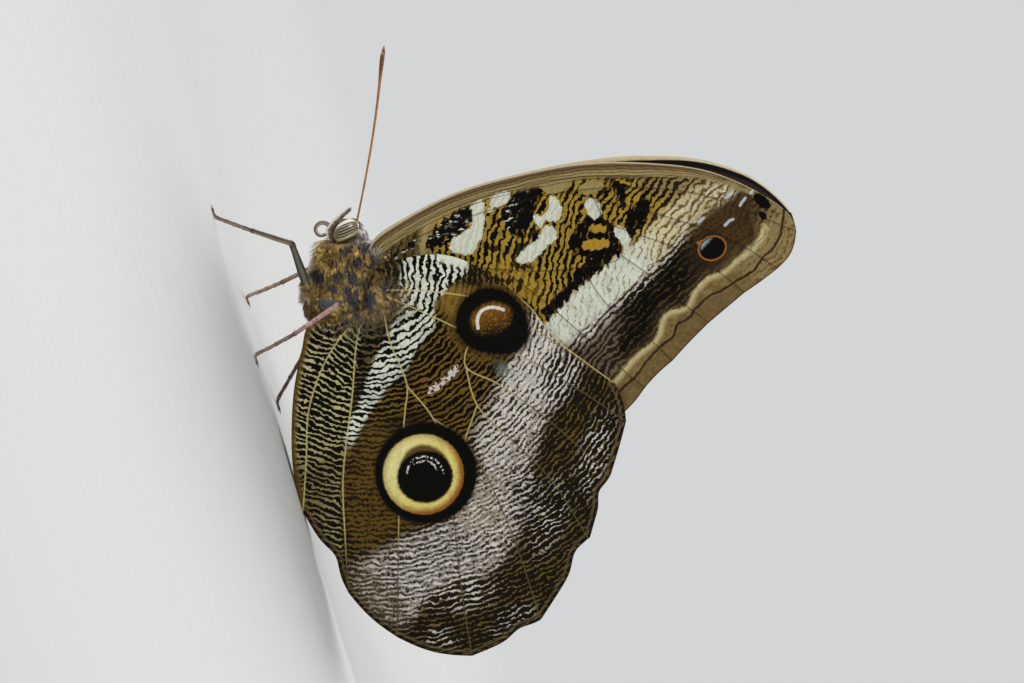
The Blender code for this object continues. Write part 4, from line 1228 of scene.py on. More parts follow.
# %% Body skin
NECK = Vector((-24.2, 0.0, 21.6))
BODY_PITCH = math.radians(-22.0)
THORAX_WIDTH = 4.9
THORAX_SECTIONS = ((0.2, 2.4, 2.2, 0.45), (2.0, 5.2, 4.4, 0.72), (4.9, 7.2, 5.4, 0.93),
                   (8.2, 7.8, 6.5, 1.00), (11.2, 7.1, 6.9, 0.97), (13.9, 5.4, 6.8, 0.84),
                   (16.0, 3.2, 5.2, 0.55))
ABDOMEN_AXIS = ((-12.5, 16.6), (-9.7, 15.0), (-4.0, 11.6), (2.7, 8.3), (8.0, 5.9), (10.6, 4.8))
ABDOMEN_RADII = (3.2, 3.9, 3.7, 2.9, 1.8, 0.7)
HEAD_CENTRE = Vector((-25.1, 0.0, 21.6))
HEAD_RADII = (2.8, 2.3, 3.3)
HEAD_TILT = math.radians(-24.0)
COAT_DEPTH = {"thorax": 0.75, "abdomen": 0.55, "head": 0.4}


def loft_rings(bm, sections, sides=40):
    """Egg-shaped rings joined into a closed form: centre, up, high, low, half width."""
    rings = []
    for centre, up, high, low, wide in sections:
        ring = []
        for k in range(sides):
            angle = 2 * math.pi * k / sides
            reach = high if math.sin(angle) > 0 else low
            spot = centre + up * (math.sin(angle) * reach) + Vector((0, math.cos(angle) * wide, 0))
            ring.append(bm.verts.new(spot * MM))
        rings.append(ring)
    for one, two in zip(rings, rings[1:]):
        for k in range(sides):
            n = (k + 1) % sides
            bm.faces.new((one[k], one[n], two[n], two[k]))
    bm.faces.new(rings[0][::-1])
    bm.faces.new(rings[-1])


def thorax_rings(inset):
    along = Vector((math.cos(BODY_PITCH), 0, math.sin(BODY_PITCH)))
    up = Vector((-along.z, 0, along.x))
    table = smooth_path([Vector(s) for s in THORAX_SECTIONS], 0.8)
    return [(NECK + along * s, up, high - inset, low - inset, wide * THORAX_WIDTH - inset)
            for s, high, low, wide in table]


def abdomen_rings(inset):
    path = smooth_path([(x, r, z) for (x, z), r in zip(ABDOMEN_AXIS, ABDOMEN_RADII)], 0.9)[:-1]
    out = []
    for i, p in enumerate(path):
        run = path[min(i + 1, len(path) - 1)] - path[max(i - 1, 0)]
        along = Vector((run.x, 0, run.z)).normalized()
        crease = 0.12 * (0.5 + 0.5 * math.cos(2 * math.pi * i * 0.9 / 2.6))
        r = max(p.y - inset - crease, 0.2)
        out.append((Vector((p.x, 0, p.z)), Vector((-along.z, 0, along.x)), r, r, r * 0.9))
    return out


def melt_together(piece, grain):
    """Remeshes crossing forms into one skin and smooths it."""
    melt = piece.modifiers.new("melt", "REMESH")
    melt.mode = "VOXEL"
    melt.voxel_size = grain * MM
    ease = piece.modifiers.new("ease", "SMOOTH")
    ease.factor = 0.5
    ease.iterations = 12
    graph = bpy.context.evaluated_depsgraph_get()
    made = bpy.data.meshes.new_from_object(piece.evaluated_get(graph))
    piece.modifiers.clear()
    piece.data = made
    made.name = "body_skin"
    made.polygons.foreach_set("use_smooth", [True] * len(made.polygons))


def body_skin():
    bm = bmesh.new()
    loft_rings(bm, thorax_rings(COAT_DEPTH["thorax"]))
    loft_rings(bm, abdomen_rings(COAT_DEPTH["abdomen"]))
    ball = bmesh.ops.create_uvsphere(bm, u_segments=40, v_segments=24, radius=1.0)["verts"]
    size = Matrix.Diagonal([(r - COAT_DEPTH["head"]) * MM for r in HEAD_RADII] + [1.0])
    turn = Matrix.Rotation(HEAD_TILT, 4, "Y")
    bmesh.ops.transform(bm, matrix=Matrix.Translation(HEAD_CENTRE * MM) @ turn @ size, verts=ball)
    bmesh.ops.recalc_face_normals(bm, faces=bm.faces[:])
    piece = link_object("body_skin", mesh_of(bm, "body_skin"))
    melt_together(piece, 0.26)
    return piece


skin = body_skin()
print("skin points:", len(skin.data.vertices))

# %% [markdown]
# ## Where the markings of the body lie
# The hair of the chest is ochre with slate-black spots, cream low on the breast and grey behind
# the head. The skin and the hair must agree, or bare gaps would flash another colour. So one
# function turns any point of the body into fields, and both read them.

# %% Body coordinates and markings
BODY_AXIS = np.array(((-28.4, 21.9), (-24.2, 21.6), (-16.8, 18.6), (-12.5, 16.6), (-9.7, 15.0), (-4.0, 11.6),
                      (2.7, 8.3), (8.0, 5.9), (11.2, 4.5)))
BODY_LENGTH = 45.0
CHEST_END = 21.0
# each dark spot: x and z in mm, then its two radii
BODY_SPOTS = ((-19.6, 15.3, 1.25, 0.95), (-19.2, 18.3, 1.05, 0.9), (-18.1, 20.6, 1.15, 1.0),
              (-17.4, 16.8, 1.0, 0.75), (-16.3, 19.1, 0.9, 0.8), (-14.5, 19.6, 1.3, 0.95),
              (-13.8, 22.7, 1.2, 0.95), (-11.8, 19.5, 1.3, 0.8), (-12.8, 22.2, 0.9, 0.8),
              (-22.0, 23.6, 0.9, 0.6), (-22.8, 21.0, 1.1, 0.6), (-20.5, 22.2, 1.15, 0.75),
              (-16.6, 22.6, 0.8, 0.6), (-21.2, 17.6, 0.8, 0.5), (-10.4, 17.2, 0.9, 0.6),
              (-15.1, 26.6, 1.9, 1.5), (-19.9, 24.6, 1.3, 0.8), (-18.4, 25.9, 0.9, 0.6))
COLLAR = (((-22.6, 25.0), (1.7, 2.6), -30), ((-24.5, 24.9), (2.3, 1.05), 12))
GAPE = ((-23.8, 20.4), (1.0, 3.4), -24)
KEEL_TURN = 0.437


def body_place(points):
    """Along the body's axis, 0 to 1, and round it in turns, for points in mm."""
    flat = points[:, (0, 2)]
    best = np.full(len(points), 1e9)
    along = np.zeros(len(points))
    up = np.zeros(len(points))
    start = 0.0
    for a, b in zip(BODY_AXIS[:-1], BODY_AXIS[1:]):
        run = b - a
        length = np.hypot(*run)
        t = np.clip((flat - a) @ run / length ** 2, 0.0, 1.0)
        gap = np.hypot(*(flat - a - t[:, None] * run).T)
        better = gap < best - 1e-9
        best = np.where(better, gap, best)
        along = np.where(better, start + t * length, along)
        up = np.where(better, (flat - a) @ np.array((-run[1], run[0])) / length, up)
        start += length
    return along / start, np.arctan2(points[:, 1], up) / (2 * math.pi)


def body_fields(points):
    """Where the markings lie: spots, breast, collar, gape, and how far back the darker coat starts."""
    flat = points[:, (0, 2)]
    along, turn = body_place(points)
    walked = along * BODY_LENGTH
    dark = shapes(flat, (), [((x, z), (a, b), -25 + 11 * i) for i, (x, z, a, b) in enumerate(BODY_SPOTS)])
    middle = np.abs(points[:, 1]) < 1.0
    return {"fringe": points[:, 0] + 11.0,
            "spots": dark - 0.6 * middle,
            "breast": overlap((np.abs(turn) - KEEL_TURN) * 18.0, walked - 5.0, 16.0 - walked),
            "collar": shapes(flat, (), COLLAR),
            "gape": oval(flat, *GAPE),
            "rump": walked - 21.5, "rings": walked / 2.3, "along": along, "turn": turn}


def mesh_points(mesh):
    flat = np.zeros(len(mesh.vertices) * 3, np.float32)
    mesh.vertices.foreach_get("co", flat)
    return flat.reshape(-1, 3).astype(float) / MM


def skin_uv(turn, along):
    """Bake map of skin and coat: round the body across, along it up."""
    return 0.03 + (turn + 0.5) * 0.92, 0.02 + along * 0.96


def body_map(mesh, along, turn):
    layer = mesh.uv_layers.new(name="OFBake")
    for poly in mesh.polygons:
        turns = [turn[mesh.loops[i].vertex_index] for i in poly.loop_indices]
        wrap = max(turns) - min(turns) > 0.5
        for i, t in zip(poly.loop_indices, turns):
            if wrap and t < 0:
                t += 1.0
            layer.data[i].uv = skin_uv(t, along[mesh.loops[i].vertex_index])


SKIN_FIELDS = body_fields(mesh_points(skin.data))
body_map(skin.data, SKIN_FIELDS["along"], SKIN_FIELDS["turn"])
store(skin.data, SKIN_FIELDS)
print("body fields:", sorted(SKIN_FIELDS))

# %% Body finish
def body_markings(paint):
    """Ochre fur with slate spots, a cream fringe, a grey collar and a banded rump."""
    cloud = paint.noise(2.4, 3.0, 0.6)
    fleck = paint.noise(0.7, 2.0, 0.6, shift=4.0)
    paint.colour = paint.blend(paint.step(cloud, -0.16, 0.2), (134, 106, 42), (226, 190, 104))
    paint.lay(paint.step(fleck, 0.0, 0.16), (66, 52, 20))
    crown = paint.add(paint.times(paint.field("along"), BODY_LENGTH), fleck)
    paint.lay(paint.step(crown, 5.6, 4.2), (104, 90, 76), 0.6)
    paint.lay(paint.ramp("fringe", -0.6, 2.2, paint.times(cloud, 5.0)), (84, 70, 34), 0.8)
    bands = paint.step(paint.sine(paint.field("rings")), 0.1, 0.8)
    belly = paint.blend(paint.times(bands, 0.5), (126, 104, 72), (80, 62, 42))
    paint.lay(paint.ramp("rump", -2.0, 2.5), belly)
    wob = paint.add(paint.times(fleck, 1.1), paint.times(cloud, 0.7))
    paint.lay(paint.ramp("breast", -0.35, 0.35, wob), (244, 226, 196), 0.9)
    grey = paint.blend(paint.step(fleck, -0.3, 0.0), (188, 178, 184), (250, 244, 246))
    paint.lay(paint.ramp("collar", -0.4, 0.6, wob), grey)
    paint.lay(paint.ramp("gape", -0.3, 0.5, wob), (176, 146, 84), 0.6)
    slate = paint.blend(paint.step(fleck, -0.08, 0.2), (20, 19, 26), (78, 77, 102))
    paint.lay(paint.ramp("spots", -0.14, 0.22, paint.times(wob, 0.45)), slate, 0.94)


def body_finish(name, hairy):
    """The same markings for skin and coat; the skin is painted a little darker and the hairs darker at their
    roots, as shade in the coat's depth.
    """
    paint = Recipe(name)
    body_markings(paint)
    if hairy:
        strand = paint.noise(0.35, 1.0, shift=8.0)
        # painted shade: each hair darker at its root and lighter at its tip
        tone = paint.add(paint.add(0.66, paint.times(paint.field("tip"), 0.45)), paint.times(strand, 0.7))
        tone = paint.add(tone, paint.times(paint.field("lock"), 0.27))
        paint.bump(strand, 0.02, 0.3)
    else:
        strand = paint.noise(0.3, 3.0, 0.6)
        # painted shade: the skin under the hair is darker than the coat
        tone = paint.add(0.45, paint.times(strand, 0.5))
        paint.bump(strand, 0.12, 0.8)
    paint.brighten(tone)
    return paint.finish(paint.add(0.62, paint.times(strand, 0.3)), Sheen_Weight=0.3, Sheen_Roughness=0.4,
                        Specular_IOR_Level=0.35)


skin.data.materials.append(body_finish("body_skin_scales", False))
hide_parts("head", "thorax", "abdomen")
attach(skin, "root")
print("the skin wears", skin.data.materials[0].name)

# %% [markdown]
# ## Hair as small solid tufts
# Hair could be a particle system, but particles don't survive into an exported model. Each tuft
# is therefore a thin three-sided spike in real mesh, bent once, with its root just under the
# skin. It leans along the lie of the coat, back from the head, and neighbours lean together into
# pointed locks. Its bake map is a tiny patch at the place of its root, so that each tuft has the
# colour of the skin it grows from.

# %% Tuft maker
def unit(v):
    return v / np.maximum(np.linalg.norm(v, axis=1), 1e-9)[:, None]


def scatter(mesh, count, seed, weight=None):
    """Random spots on a mesh, even by area or by a weight: places, normals, and the draw itself."""
    rng = np.random.default_rng(seed)
    mesh.calc_loop_triangles()
    tris = np.zeros(len(mesh.loop_triangles) * 3, np.int32)
    mesh.loop_triangles.foreach_get("vertices", tris)
    tris = tris.reshape(-1, 3)
    points = mesh_points(mesh)
    normals = np.zeros(len(mesh.vertices) * 3, np.float32)
    mesh.vertices.foreach_get("normal", normals)
    normals = normals.reshape(-1, 3).astype(float)
    a, b, c = (points[tris[:, i]] for i in range(3))
    area = np.linalg.norm(np.cross(b - a, c - a), axis=1)
    if weight is not None:
        area = area * weight[tris].mean(axis=1)
    pick = rng.choice(len(tris), count, p=area / area.sum())
    u, v = rng.random(count), rng.random(count)
    flip = u + v > 1
    u, v = np.where(flip, 1 - u, u), np.where(flip, 1 - v, v)
    share = np.stack((1 - u - v, u, v), 1)[:, :, None]
    spot = (points[tris[pick]] * share).sum(axis=1)
    normal = (normals[tris[pick]] * share).sum(axis=1)
    return spot, unit(normal), rng


def into_locks(root, lie, length, rng, locks, pull=0.6):
    """Leans hairs together into pointed locks; gives their lean and a tone for each lock."""
    heads = rng.choice(len(root), locks, replace=False)
    nearest = np.concatenate([np.argmin(((part[:, None] - root[heads][None]) ** 2).sum(axis=2), axis=1)
                              for part in np.array_split(root, 12)])
    aim = unit(lie)
    own = root + aim * length[:, None]
    shared = root[heads][nearest] + aim[heads][nearest] * (length[heads][nearest] * 1.15)[:, None]
    return own + (shared - own) * pull - root, rng.normal(0, 1, locks)[nearest]


THIRD = 2.0944
TUFT_FACES = np.array(((0, 2, 1), (0, 1, 4), (0, 4, 3), (1, 2, 5), (1, 5, 4), (2, 0, 3), (2, 3, 5),
                       (3, 4, 6), (4, 5, 6), (5, 3, 6)))
TUFT_UV = np.array(((0, 0), (1, 0), (0.5, 1), (0.2, 0.2), (0.8, 0.2), (0.5, 0.8), (0.5, 0.4))) * 0.003


def tuft_points(root, normal, lie, length, width, lift):
    """Seven points a tuft: three at the foot, three at the bend, one tip."""
    lie = unit(lie - normal * (lie * normal).sum(axis=1)[:, None])
    across = np.cross(normal, lie)
    start = unit(lie + normal * lift)
    end = unit(lie + normal * lift * 0.25)
    middle = root + start * (length * 0.5)[:, None]
    tip = middle + end * (length * 0.5)[:, None]
    foot = root - normal * 0.12
    rise = np.cross(across, start)
    rings = []
    for centre, scale in ((foot, 1.0), (middle, 0.8)):
        for angle in (0.5, 0.5 + THIRD, 0.5 + 2 * THIRD):
            r = (width * scale)[:, None]
            rings.append(centre + across * r * math.cos(angle) + rise * r * 0.6 * math.sin(angle))
    return np.stack(rings + [tip], 1).reshape(-1, 3)


def tuft_mesh(name, root, normal, lie, length, width, fields, uv, lift=0.45):
    """Bent three-sided spikes as one mesh; fields and uv come from the roots."""
    count = len(root)
    points = tuft_points(root, normal, lie, length, width, lift)
    base = np.arange(count)[:, None] * 7
    faces = (base[:, :, None] + TUFT_FACES[None]).reshape(-1, 3)
    mesh = bpy.data.meshes.new(name)
    mesh.from_pydata((points * MM).tolist(), [], faces.tolist())
    mesh.polygons.foreach_set("use_smooth", [True] * len(mesh.polygons))
    full = (uv[:, None, :] + TUFT_UV[None]).reshape(-1, 2)
    layer = mesh.uv_layers.new(name="OFBake")
    layer.data.foreach_set("uv", full[faces.ravel()].astype(np.float32).ravel())
    out = {key: np.repeat(value, 7, axis=0) for key, value in fields.items()}
    out["tip"] = np.tile(np.array((0, 0, 0, 0.5, 0.5, 0.5, 1.0)), count)
    store(mesh, out)
    return mesh


print("a tuft has", len(TUFT_UV), "points and", len(TUFT_FACES), "faces")

# %% Putting a piece in the scene
def add_piece(name, mesh, mat, slot, *nodes):
    piece = link_object(name, mesh)
    piece.data.materials.clear()
    piece.data.materials.append(mat)
    if nodes:
        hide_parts(*nodes)
    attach(piece, "root")
    return piece


def add_hair(name, mat, slot, tufts, *nodes):
    """A piece of tufts: tufts holds what tuft_mesh needs after the name."""
    return add_piece(name, tuft_mesh(name, *tufts), mat, slot, *nodes)


# %% Fur of head, chest and abdomen
def chest_growth(root, normal, fields, s):
    """Where the coat grows longer: neck, breast, hinge of the wings, nape and keel, each 0 to 1."""
    chest = s < CHEST_END
    neck = bell(s - 6.0, 2.2)
    low = np.clip(fields["breast"] + 0.5, 0, 1)
    nape = bell(root[:, 0] + 23.8, 1.9) * np.clip((root[:, 2] - 22.8) / 1.2, 0, 1)
    keel = np.clip(fields["breast"] + 0.8, 0, 1) * np.clip(-normal[:, 2] * 2.0, 0, 1) * chest
    hinge = np.clip((root[:, 0] + 15.5) / 3.0, 0, 1) * np.clip((root[:, 2] - 13.0) / 3.0, 0, 1) * chest
    return neck, low, hinge, nape, keel


def body_fur(count=19000, locks=1100):
    along = SKIN_FIELDS["along"] * BODY_LENGTH
    weight = np.where(along < 7.0, 1.7, np.where(along < CHEST_END, 1.25, 0.5))
    root, normal, rng = scatter(skin.data, count, 11, weight)
    fields = body_fields(root)
    s = fields["along"] * BODY_LENGTH
    neck, low, hinge, nape, keel = chest_growth(root, normal, fields, s)
    lie = np.tile(np.array((0.93, 0.0, -0.37)), (count, 1))
    lie[:, 2] -= 0.5 * np.clip((root[:, 2] - 22.0) / 4.0, -0.5, 1.0)
    lie += rng.normal(0, 0.16, (count, 3))
    length = np.where(s < 5.0, 0.9, np.where(s < CHEST_END, 1.7, 1.0)) * rng.uniform(0.75, 1.25, count)
    length += 0.7 * neck + 0.4 * low + 1.2 * hinge + 1.7 * nape + 0.7 * keel
    lie, fields["lock"] = into_locks(root, lie, length, rng, locks, 0.7)
    width = rng.uniform(0.07, 0.12, count)
    lift = np.where(s < 5.0, 0.35, 0.6) + 0.5 * neck + 0.3 * low + 0.9 * hinge + 1.9 * nape + 0.5 * keel
    uv = np.stack(skin_uv(fields["turn"], fields["along"]), 1)
    tufts = (root, normal, lie, length, width, fields, uv, lift[:, None])
    return add_hair("body_fur", body_finish("body_fur_hair", True), "thorax", tufts)


fur = body_fur()
COAT = fur.data.materials[0]
print("fur faces:", len(fur.data.polygons))

# %% [markdown]
# ## Hair over the wing roots
# The coat of the chest runs out over the roots of the wings and hides the hinges. Those hairs grow
# from the wing, so they are rooted on its outer skin and lie away from the body. Their bake map
# uses the wing's own map, and they read the same markings as the body, so the coat looks whole.

# %% Wing root hair
CHEST_MIDDLE = (-18.5, 19.5)


def wing_root_hair(side, kind, middle, spread, count, seed=41):
    sheet = bpy.data.objects[kind + "_" + side + "_sheet"].data
    points = mesh_points(sheet)
    outer = np.arange(len(points)) < len(points) // 2

    def reach(places):
        return np.hypot((places[:, 0] - middle[0]) / spread[0], (places[:, 2] - middle[1]) / spread[1])

    root, normal, rng = scatter(sheet, count, seed, np.where(outer, np.exp(-reach(points) ** 2.2), 0.0))
    fields = body_fields(root)
    away = unit(np.stack((root[:, 0] - CHEST_MIDDLE[0], np.zeros(count), root[:, 2] - CHEST_MIDDLE[1]), 1))
    lie = away * 0.45 + np.array((0.85, 0.0, -0.3)) + rng.normal(0, 0.2, (count, 3))
    edge = np.clip(1.3 - reach(root), 0.3, 1.0)
    length = rng.uniform(1.2, 2.2, count) * (0.5 + 0.5 * edge)
    lie, fields["lock"] = into_locks(root, lie, length, rng, count // 12)
    uv = np.clip(sheet_uv(root[:, (0, 2)], kind), 0.0, 0.99)
    width = rng.uniform(0.06, 0.11, count) * edge
    tufts = (root, normal, lie, length, width, fields, uv, 0.35)
    return add_hair(kind + "_" + side + "_root_hair", COAT, kind, tufts)


for side in SIDES:
    for kind, middle, spread, count in (("hindwing", (-12.6, 21.0), (3.6, 6.2), 2800),
                                        ("forewing", (-18.6, 25.0), (2.5, 2.2), 700)):
        hair = wing_root_hair(side, kind, middle, spread, count)
        print(hair.name, len(hair.data.polygons), "faces")

# %% [markdown]
# ## The striped eye
# An owl butterfly's eye is a smooth dome of thousands of facets, pale with dark stripes that run
# along its long axis. The dome is an ellipsoid cut from many small faces. The stripes are drawn
# by longitude on it, so they draw together at both ends as real ones do. A clear coat gives the
# wet shine, and a fine honeycomb bump stands for the facets.

# %% Eyes
EYE_CENTRE = (-25.7, 2.05, 21.75)
EYE_RADII = (1.85, 1.6, 2.6)
STRIPE_TURN = 0.4
STRIPE_ANGLE = 0.24


def eye_finish():
    paint = Recipe("eye_facets")
    wave = paint.sine(paint.add(paint.field("stripe"), paint.noise(1.2, 1.0, gain=0.6)))
    lines = paint.step(paint.add(wave, paint.noise(0.5, 2.0, gain=0.6)), -0.75, -0.1)
    paint.colour = paint.blend(paint.ramp("back", -0.8, -0.45), (250, 238, 228), (158, 144, 102))
    paint.lay(paint.ramp("back", 0.3, 0.42), (158, 158, 108))
    paint.lay(paint.times(lines, paint.ramp("iris", 0.0, 0.14)), (18, 17, 9), 0.97)
    paint.lay(paint.ramp("crown", 0.84, 0.95), (150, 120, 92), 0.7)
    # the back of the dome painted dark olive: the colour of the hair behind the eye and painted shade that
    # this hair casts there
    paint.lay(paint.ramp("back", 0.56, 0.7), (58, 50, 26))
    facets = paint.cells(0.11)
    paint.bump(facets, 0.012, 0.35)
    return paint.finish(paint.add(0.22, paint.times(facets, 0.12)), Coat_Weight=0.5,
                        Coat_Roughness=0.12, Specular_IOR_Level=0.45)


def eye_dome(name, sign, mat):
    bm = bmesh.new()
    bmesh.ops.create_icosphere(bm, subdivisions=5, radius=1.0)
    x, y, z = np.array([tuple(v.co) for v in bm.verts]).T
    size = Matrix.Diagonal([r * MM for r in EYE_RADII] + [1.0])
    place = Matrix.Translation(Vector((EYE_CENTRE[0], sign * EYE_CENTRE[1], EYE_CENTRE[2])) * MM)
    bmesh.ops.transform(bm, matrix=place @ Matrix.Rotation(HEAD_TILT, 4, "Y") @ size, verts=bm.verts[:])
    mesh = mesh_of(bm, name)
    mesh.polygons.foreach_set("use_smooth", [True] * len(mesh.polygons))
    back = x * math.cos(STRIPE_TURN) - z * math.sin(STRIPE_TURN)
    crown = x * math.sin(STRIPE_TURN) + z * math.cos(STRIPE_TURN)
    longitude = np.arctan2(back, np.abs(y) + 0.12)
    iris = 1.0 - np.maximum(np.abs(longitude + 0.24) / 0.64, np.abs(crown) / 0.97)
    store(mesh, {"stripe": longitude / STRIPE_ANGLE, "back": back, "crown": crown, "iris": iris})
    return add_piece(name + "_dome", mesh, mat, "eye", name)


facets = eye_finish()
for side, sign in SIDES.items():
    dome = eye_dome("eye_" + side, sign, facets)
    print(dome.name, len(dome.data.polygons), "faces")

# %% [markdown]
# ## Limbs
# Legs, feelers, palps and the coiled tongue are all long tapered tubes. A bevelled curve would
# give the tube, but not its joints and swellings, so rings are laid along a smooth path and
# joined. Each point remembers how far along and how far round it is. Stripes, rings and rows
# of spines are then placed by those two numbers.

# %% Limb maker
THIRD_TURNS = (0, THIRD, 2 * THIRD)


def limb_rings(points, radii, step, profile=None):
    """Centres, frames and radii along a smooth path, in mm."""
    path = smooth_path([Vector((*p, r)) for p, r in zip(points, radii)], step)
    centres = [Vector(p[:3]) for p in path]
    spans = [0.0]
    for a, b in zip(centres, centres[1:]):
        spans.append(spans[-1] + (b - a).length)
    along = [s / spans[-1] for s in spans]
    frames = []
    across = None
    for i in range(len(centres)):
        run = (centres[min(i + 1, len(centres) - 1)] - centres[max(i - 1, 0)]).normalized()
        if across is None:
            across = run.cross(Vector((0, 0, 1))).normalized()
        across = (across - run * across.dot(run)).normalized()
        frames.append((run, across, run.cross(across)))
    sizes = [p[3] * (profile(t, s) if profile else 1.0) for p, t, s in zip(path, along, spans)]
    return centres, frames, sizes, along, spans[-1]


def limb_mesh(name, points, radii, step=0.18, sides=16, profile=None, on_floor=False):
    """A closed tube with its fields: along 0 to 1, around 0 to 1, and length in mm."""
    centres, frames, sizes, along, length = limb_rings(points, radii, step, profile)
    spots, fields = [], []
    for centre, (run, across, rise), size, t in zip(centres, frames, sizes, along):
        for k in range(sides):
            a = 2 * math.pi * k / sides
            spots.append(centre + (across * math.cos(a) + rise * math.sin(a)) * size)
            fields.append((t, k / sides))
    faces = []
    for i in range(len(centres) - 1):
        for k in range(sides):
            one, two = i * sides + k, i * sides + (k + 1) % sides
            faces.append((one, one + sides, two + sides, two))
    for end, i, way in ((0, 0, -1), (1, len(centres) - 1, 1)):
        tip = len(spots)
        spots.append(centres[i] + frames[i][0] * way * sizes[i] * 0.6)
        fields.append((float(end), 0.5))
        for k in range(sides):
            a, b = i * sides + k, i * sides + (k + 1) % sides
            faces.append((a, b, tip) if way < 0 else (b, a, tip))
    if on_floor:
        spots = [Vector((p.x, p.y, max(p.z, 0.0))) for p in spots]
    bm = bmesh.new()
    verts = [bm.verts.new(p * MM) for p in spots]
    for face in faces:
        bm.faces.new([verts[i] for i in face])
    bmesh.ops.recalc_face_normals(bm, faces=bm.faces[:])
    mesh = mesh_of(bm, name)
    mesh.polygons.foreach_set("use_smooth", [True] * len(mesh.polygons))
    table = np.array(fields)
    store(mesh, {"along": table[:, 0], "around": table[:, 1], "reach": table[:, 0] * length})
    return mesh, (centres, frames, sizes, along)


def add_spines(mesh, rings, rows, every, length, width, lean=0.75, first=0.08, last=1.0):
    """Short pointed bristles in rows along a limb, joined into its mesh."""
    centres, frames, sizes, along = rings
    bm = bmesh.new()
    bm.from_mesh(mesh)
    at, turn, reach = (bm.verts.layers.float[key] for key in ("along", "around", "reach"))
    far = max(v[reach] for v in bm.verts)
    walked = 0.0
    for i in range(1, len(centres)):
        walked += (centres[i] - centres[i - 1]).length
        if walked < every or not first <= along[i] <= last:
            continue
        walked = 0.0
        run, across, rise = frames[i]
        for row in rows:
            a = 2 * math.pi * row
            out = across * math.cos(a) + rise * math.sin(a)
            side = run.cross(out)
            foot = centres[i] + out * sizes[i] * 0.75
            tip = foot + (out + run * lean).normalized() * (length + sizes[i] * 0.25)
            ring = [foot + (run * math.cos(b) + side * math.sin(b)) * width for b in THIRD_TURNS]
            made = [bm.verts.new(p * MM) for p in ring + [tip]]
            for v in made:
                v[at], v[turn], v[reach] = along[i], row % 1.0, along[i] * far
            for face in ((0, 1, 3), (1, 2, 3), (2, 0, 3), (2, 1, 0)):
                bm.faces.new([made[j] for j in face])
    for v in bm.verts:
        v.co.z = max(v.co.z, 0.0)
    bm.to_mesh(mesh)
    bm.free()


def limb_roots(root, rings):
    """Nearest ring of each hair on a limb, its share of the length, and its place on the bake map."""
    line = np.array([tuple(p) for p in rings[0]])
    near = np.argmin(np.linalg.norm(root[:, None] - line[None], axis=2), axis=1)
    share = near / (len(line) - 1)
    turn = np.arctan2(root[:, 1] - line[near, 1], root[:, 2] - line[near, 2]) / (2 * math.pi) + 0.5
    return np.gradient(line, axis=0)[near], share, np.stack((0.05 + 0.9 * turn, 0.05 + 0.9 * share), 1)


print("a spine's foot is a triangle turned by", [round(math.degrees(a)) for a in THIRD_TURNS])

# %% [markdown]
# ## Feelers
# A butterfly's feeler is a chain of about forty short beads that ends in a slim club. The beads
# are a ripple in the radius. Their amber colour darkens at each joint, and the club is darker with
# a pale tip. Real mesh beads are kept rather than a bump, since they show in the outline.

# %% Antennae
BEAD = 0.62
ANTENNA_STEPS = 40


def antenna_points(sign):
    points, radii = [], []
    for k in range(ANTENNA_STEPS + 1):
        t = k / ANTENNA_STEPS
        z = 23.6 + 13.7 * t + 0.6 * math.sin(math.pi * t)
        points.append((-25.9 - 29.7 * t, sign * (1.1 + 7.5 * t ** 1.3), z))
        radii.append(0.2 + 0.16 * float(bell(t - 0.93, 0.09)) + 0.05 * float(bell(t, 0.04)))
    radii[-1] = 0.16
    return points, radii


def bead_swell(t, s):
    return 1.0 - 0.13 * (0.5 + 0.5 * math.sin(2 * math.pi * s / BEAD))


def antenna_finish():
    paint = Recipe("antenna_rings")
    joint = paint.step(paint.sine(paint.field("reach"), BEAD), -0.1, 0.85)
    paint.colour = paint.blend(paint.step(paint.noise(1.5), -0.2, 0.2), (180, 124, 52), (142, 95, 38))
    paint.lay(paint.ramp("along", 0.80, 0.93), (104, 58, 26))
    paint.lay(paint.ramp("along", 0.975, 0.99), (176, 128, 74))
    paint.lay(joint, (74, 46, 22), 0.55)
    grain = paint.noise(0.12, 2.0)
    paint.bump(grain, 0.01, 0.5)
    return paint.finish(paint.add(0.42, paint.times(grain, 0.3)), Specular_IOR_Level=0.4)


rings_of_amber = antenna_finish()
for side, sign in SIDES.items():
    points, radii = antenna_points(sign)
    mesh, _ = limb_mesh("antenna_" + side, points, radii, 0.103, 10, bead_swell)
    feeler = add_piece("antenna_" + side + "_beads", mesh, rings_of_amber, "antenna", "antenna_" + side)
    print(feeler.name, len(mesh.polygons), "faces")

# %% [markdown]
# ## Tongue and palps
# The tongue is a hollow tube rolled up like a watch spring, ridged across by tiny rings. The two
# palps stand up in front of the face and are clothed in short flat hair, grey outside with a
# pale front edge. The tube gets its rings from a bump, and the palps get tufts like the body's.

# %% Tongue
COIL_STEPS = 40
TONGUE_RINGS = 0.16


def coil_points():
    points, radii = [], []
    for k in range(COIL_STEPS + 1):
        t = k / COIL_STEPS
        angle = math.radians(62 + 318 * t)
        reach = 1.25 * (1.0 + 0.75 * math.exp(-t * 9) - 0.22 * t * t)
        points.append((-27.0 + reach * math.cos(angle), 0.0, 17.5 + reach * math.sin(angle)))
        radii.append(0.42 - 0.11 * k / COIL_STEPS)
    return points, radii


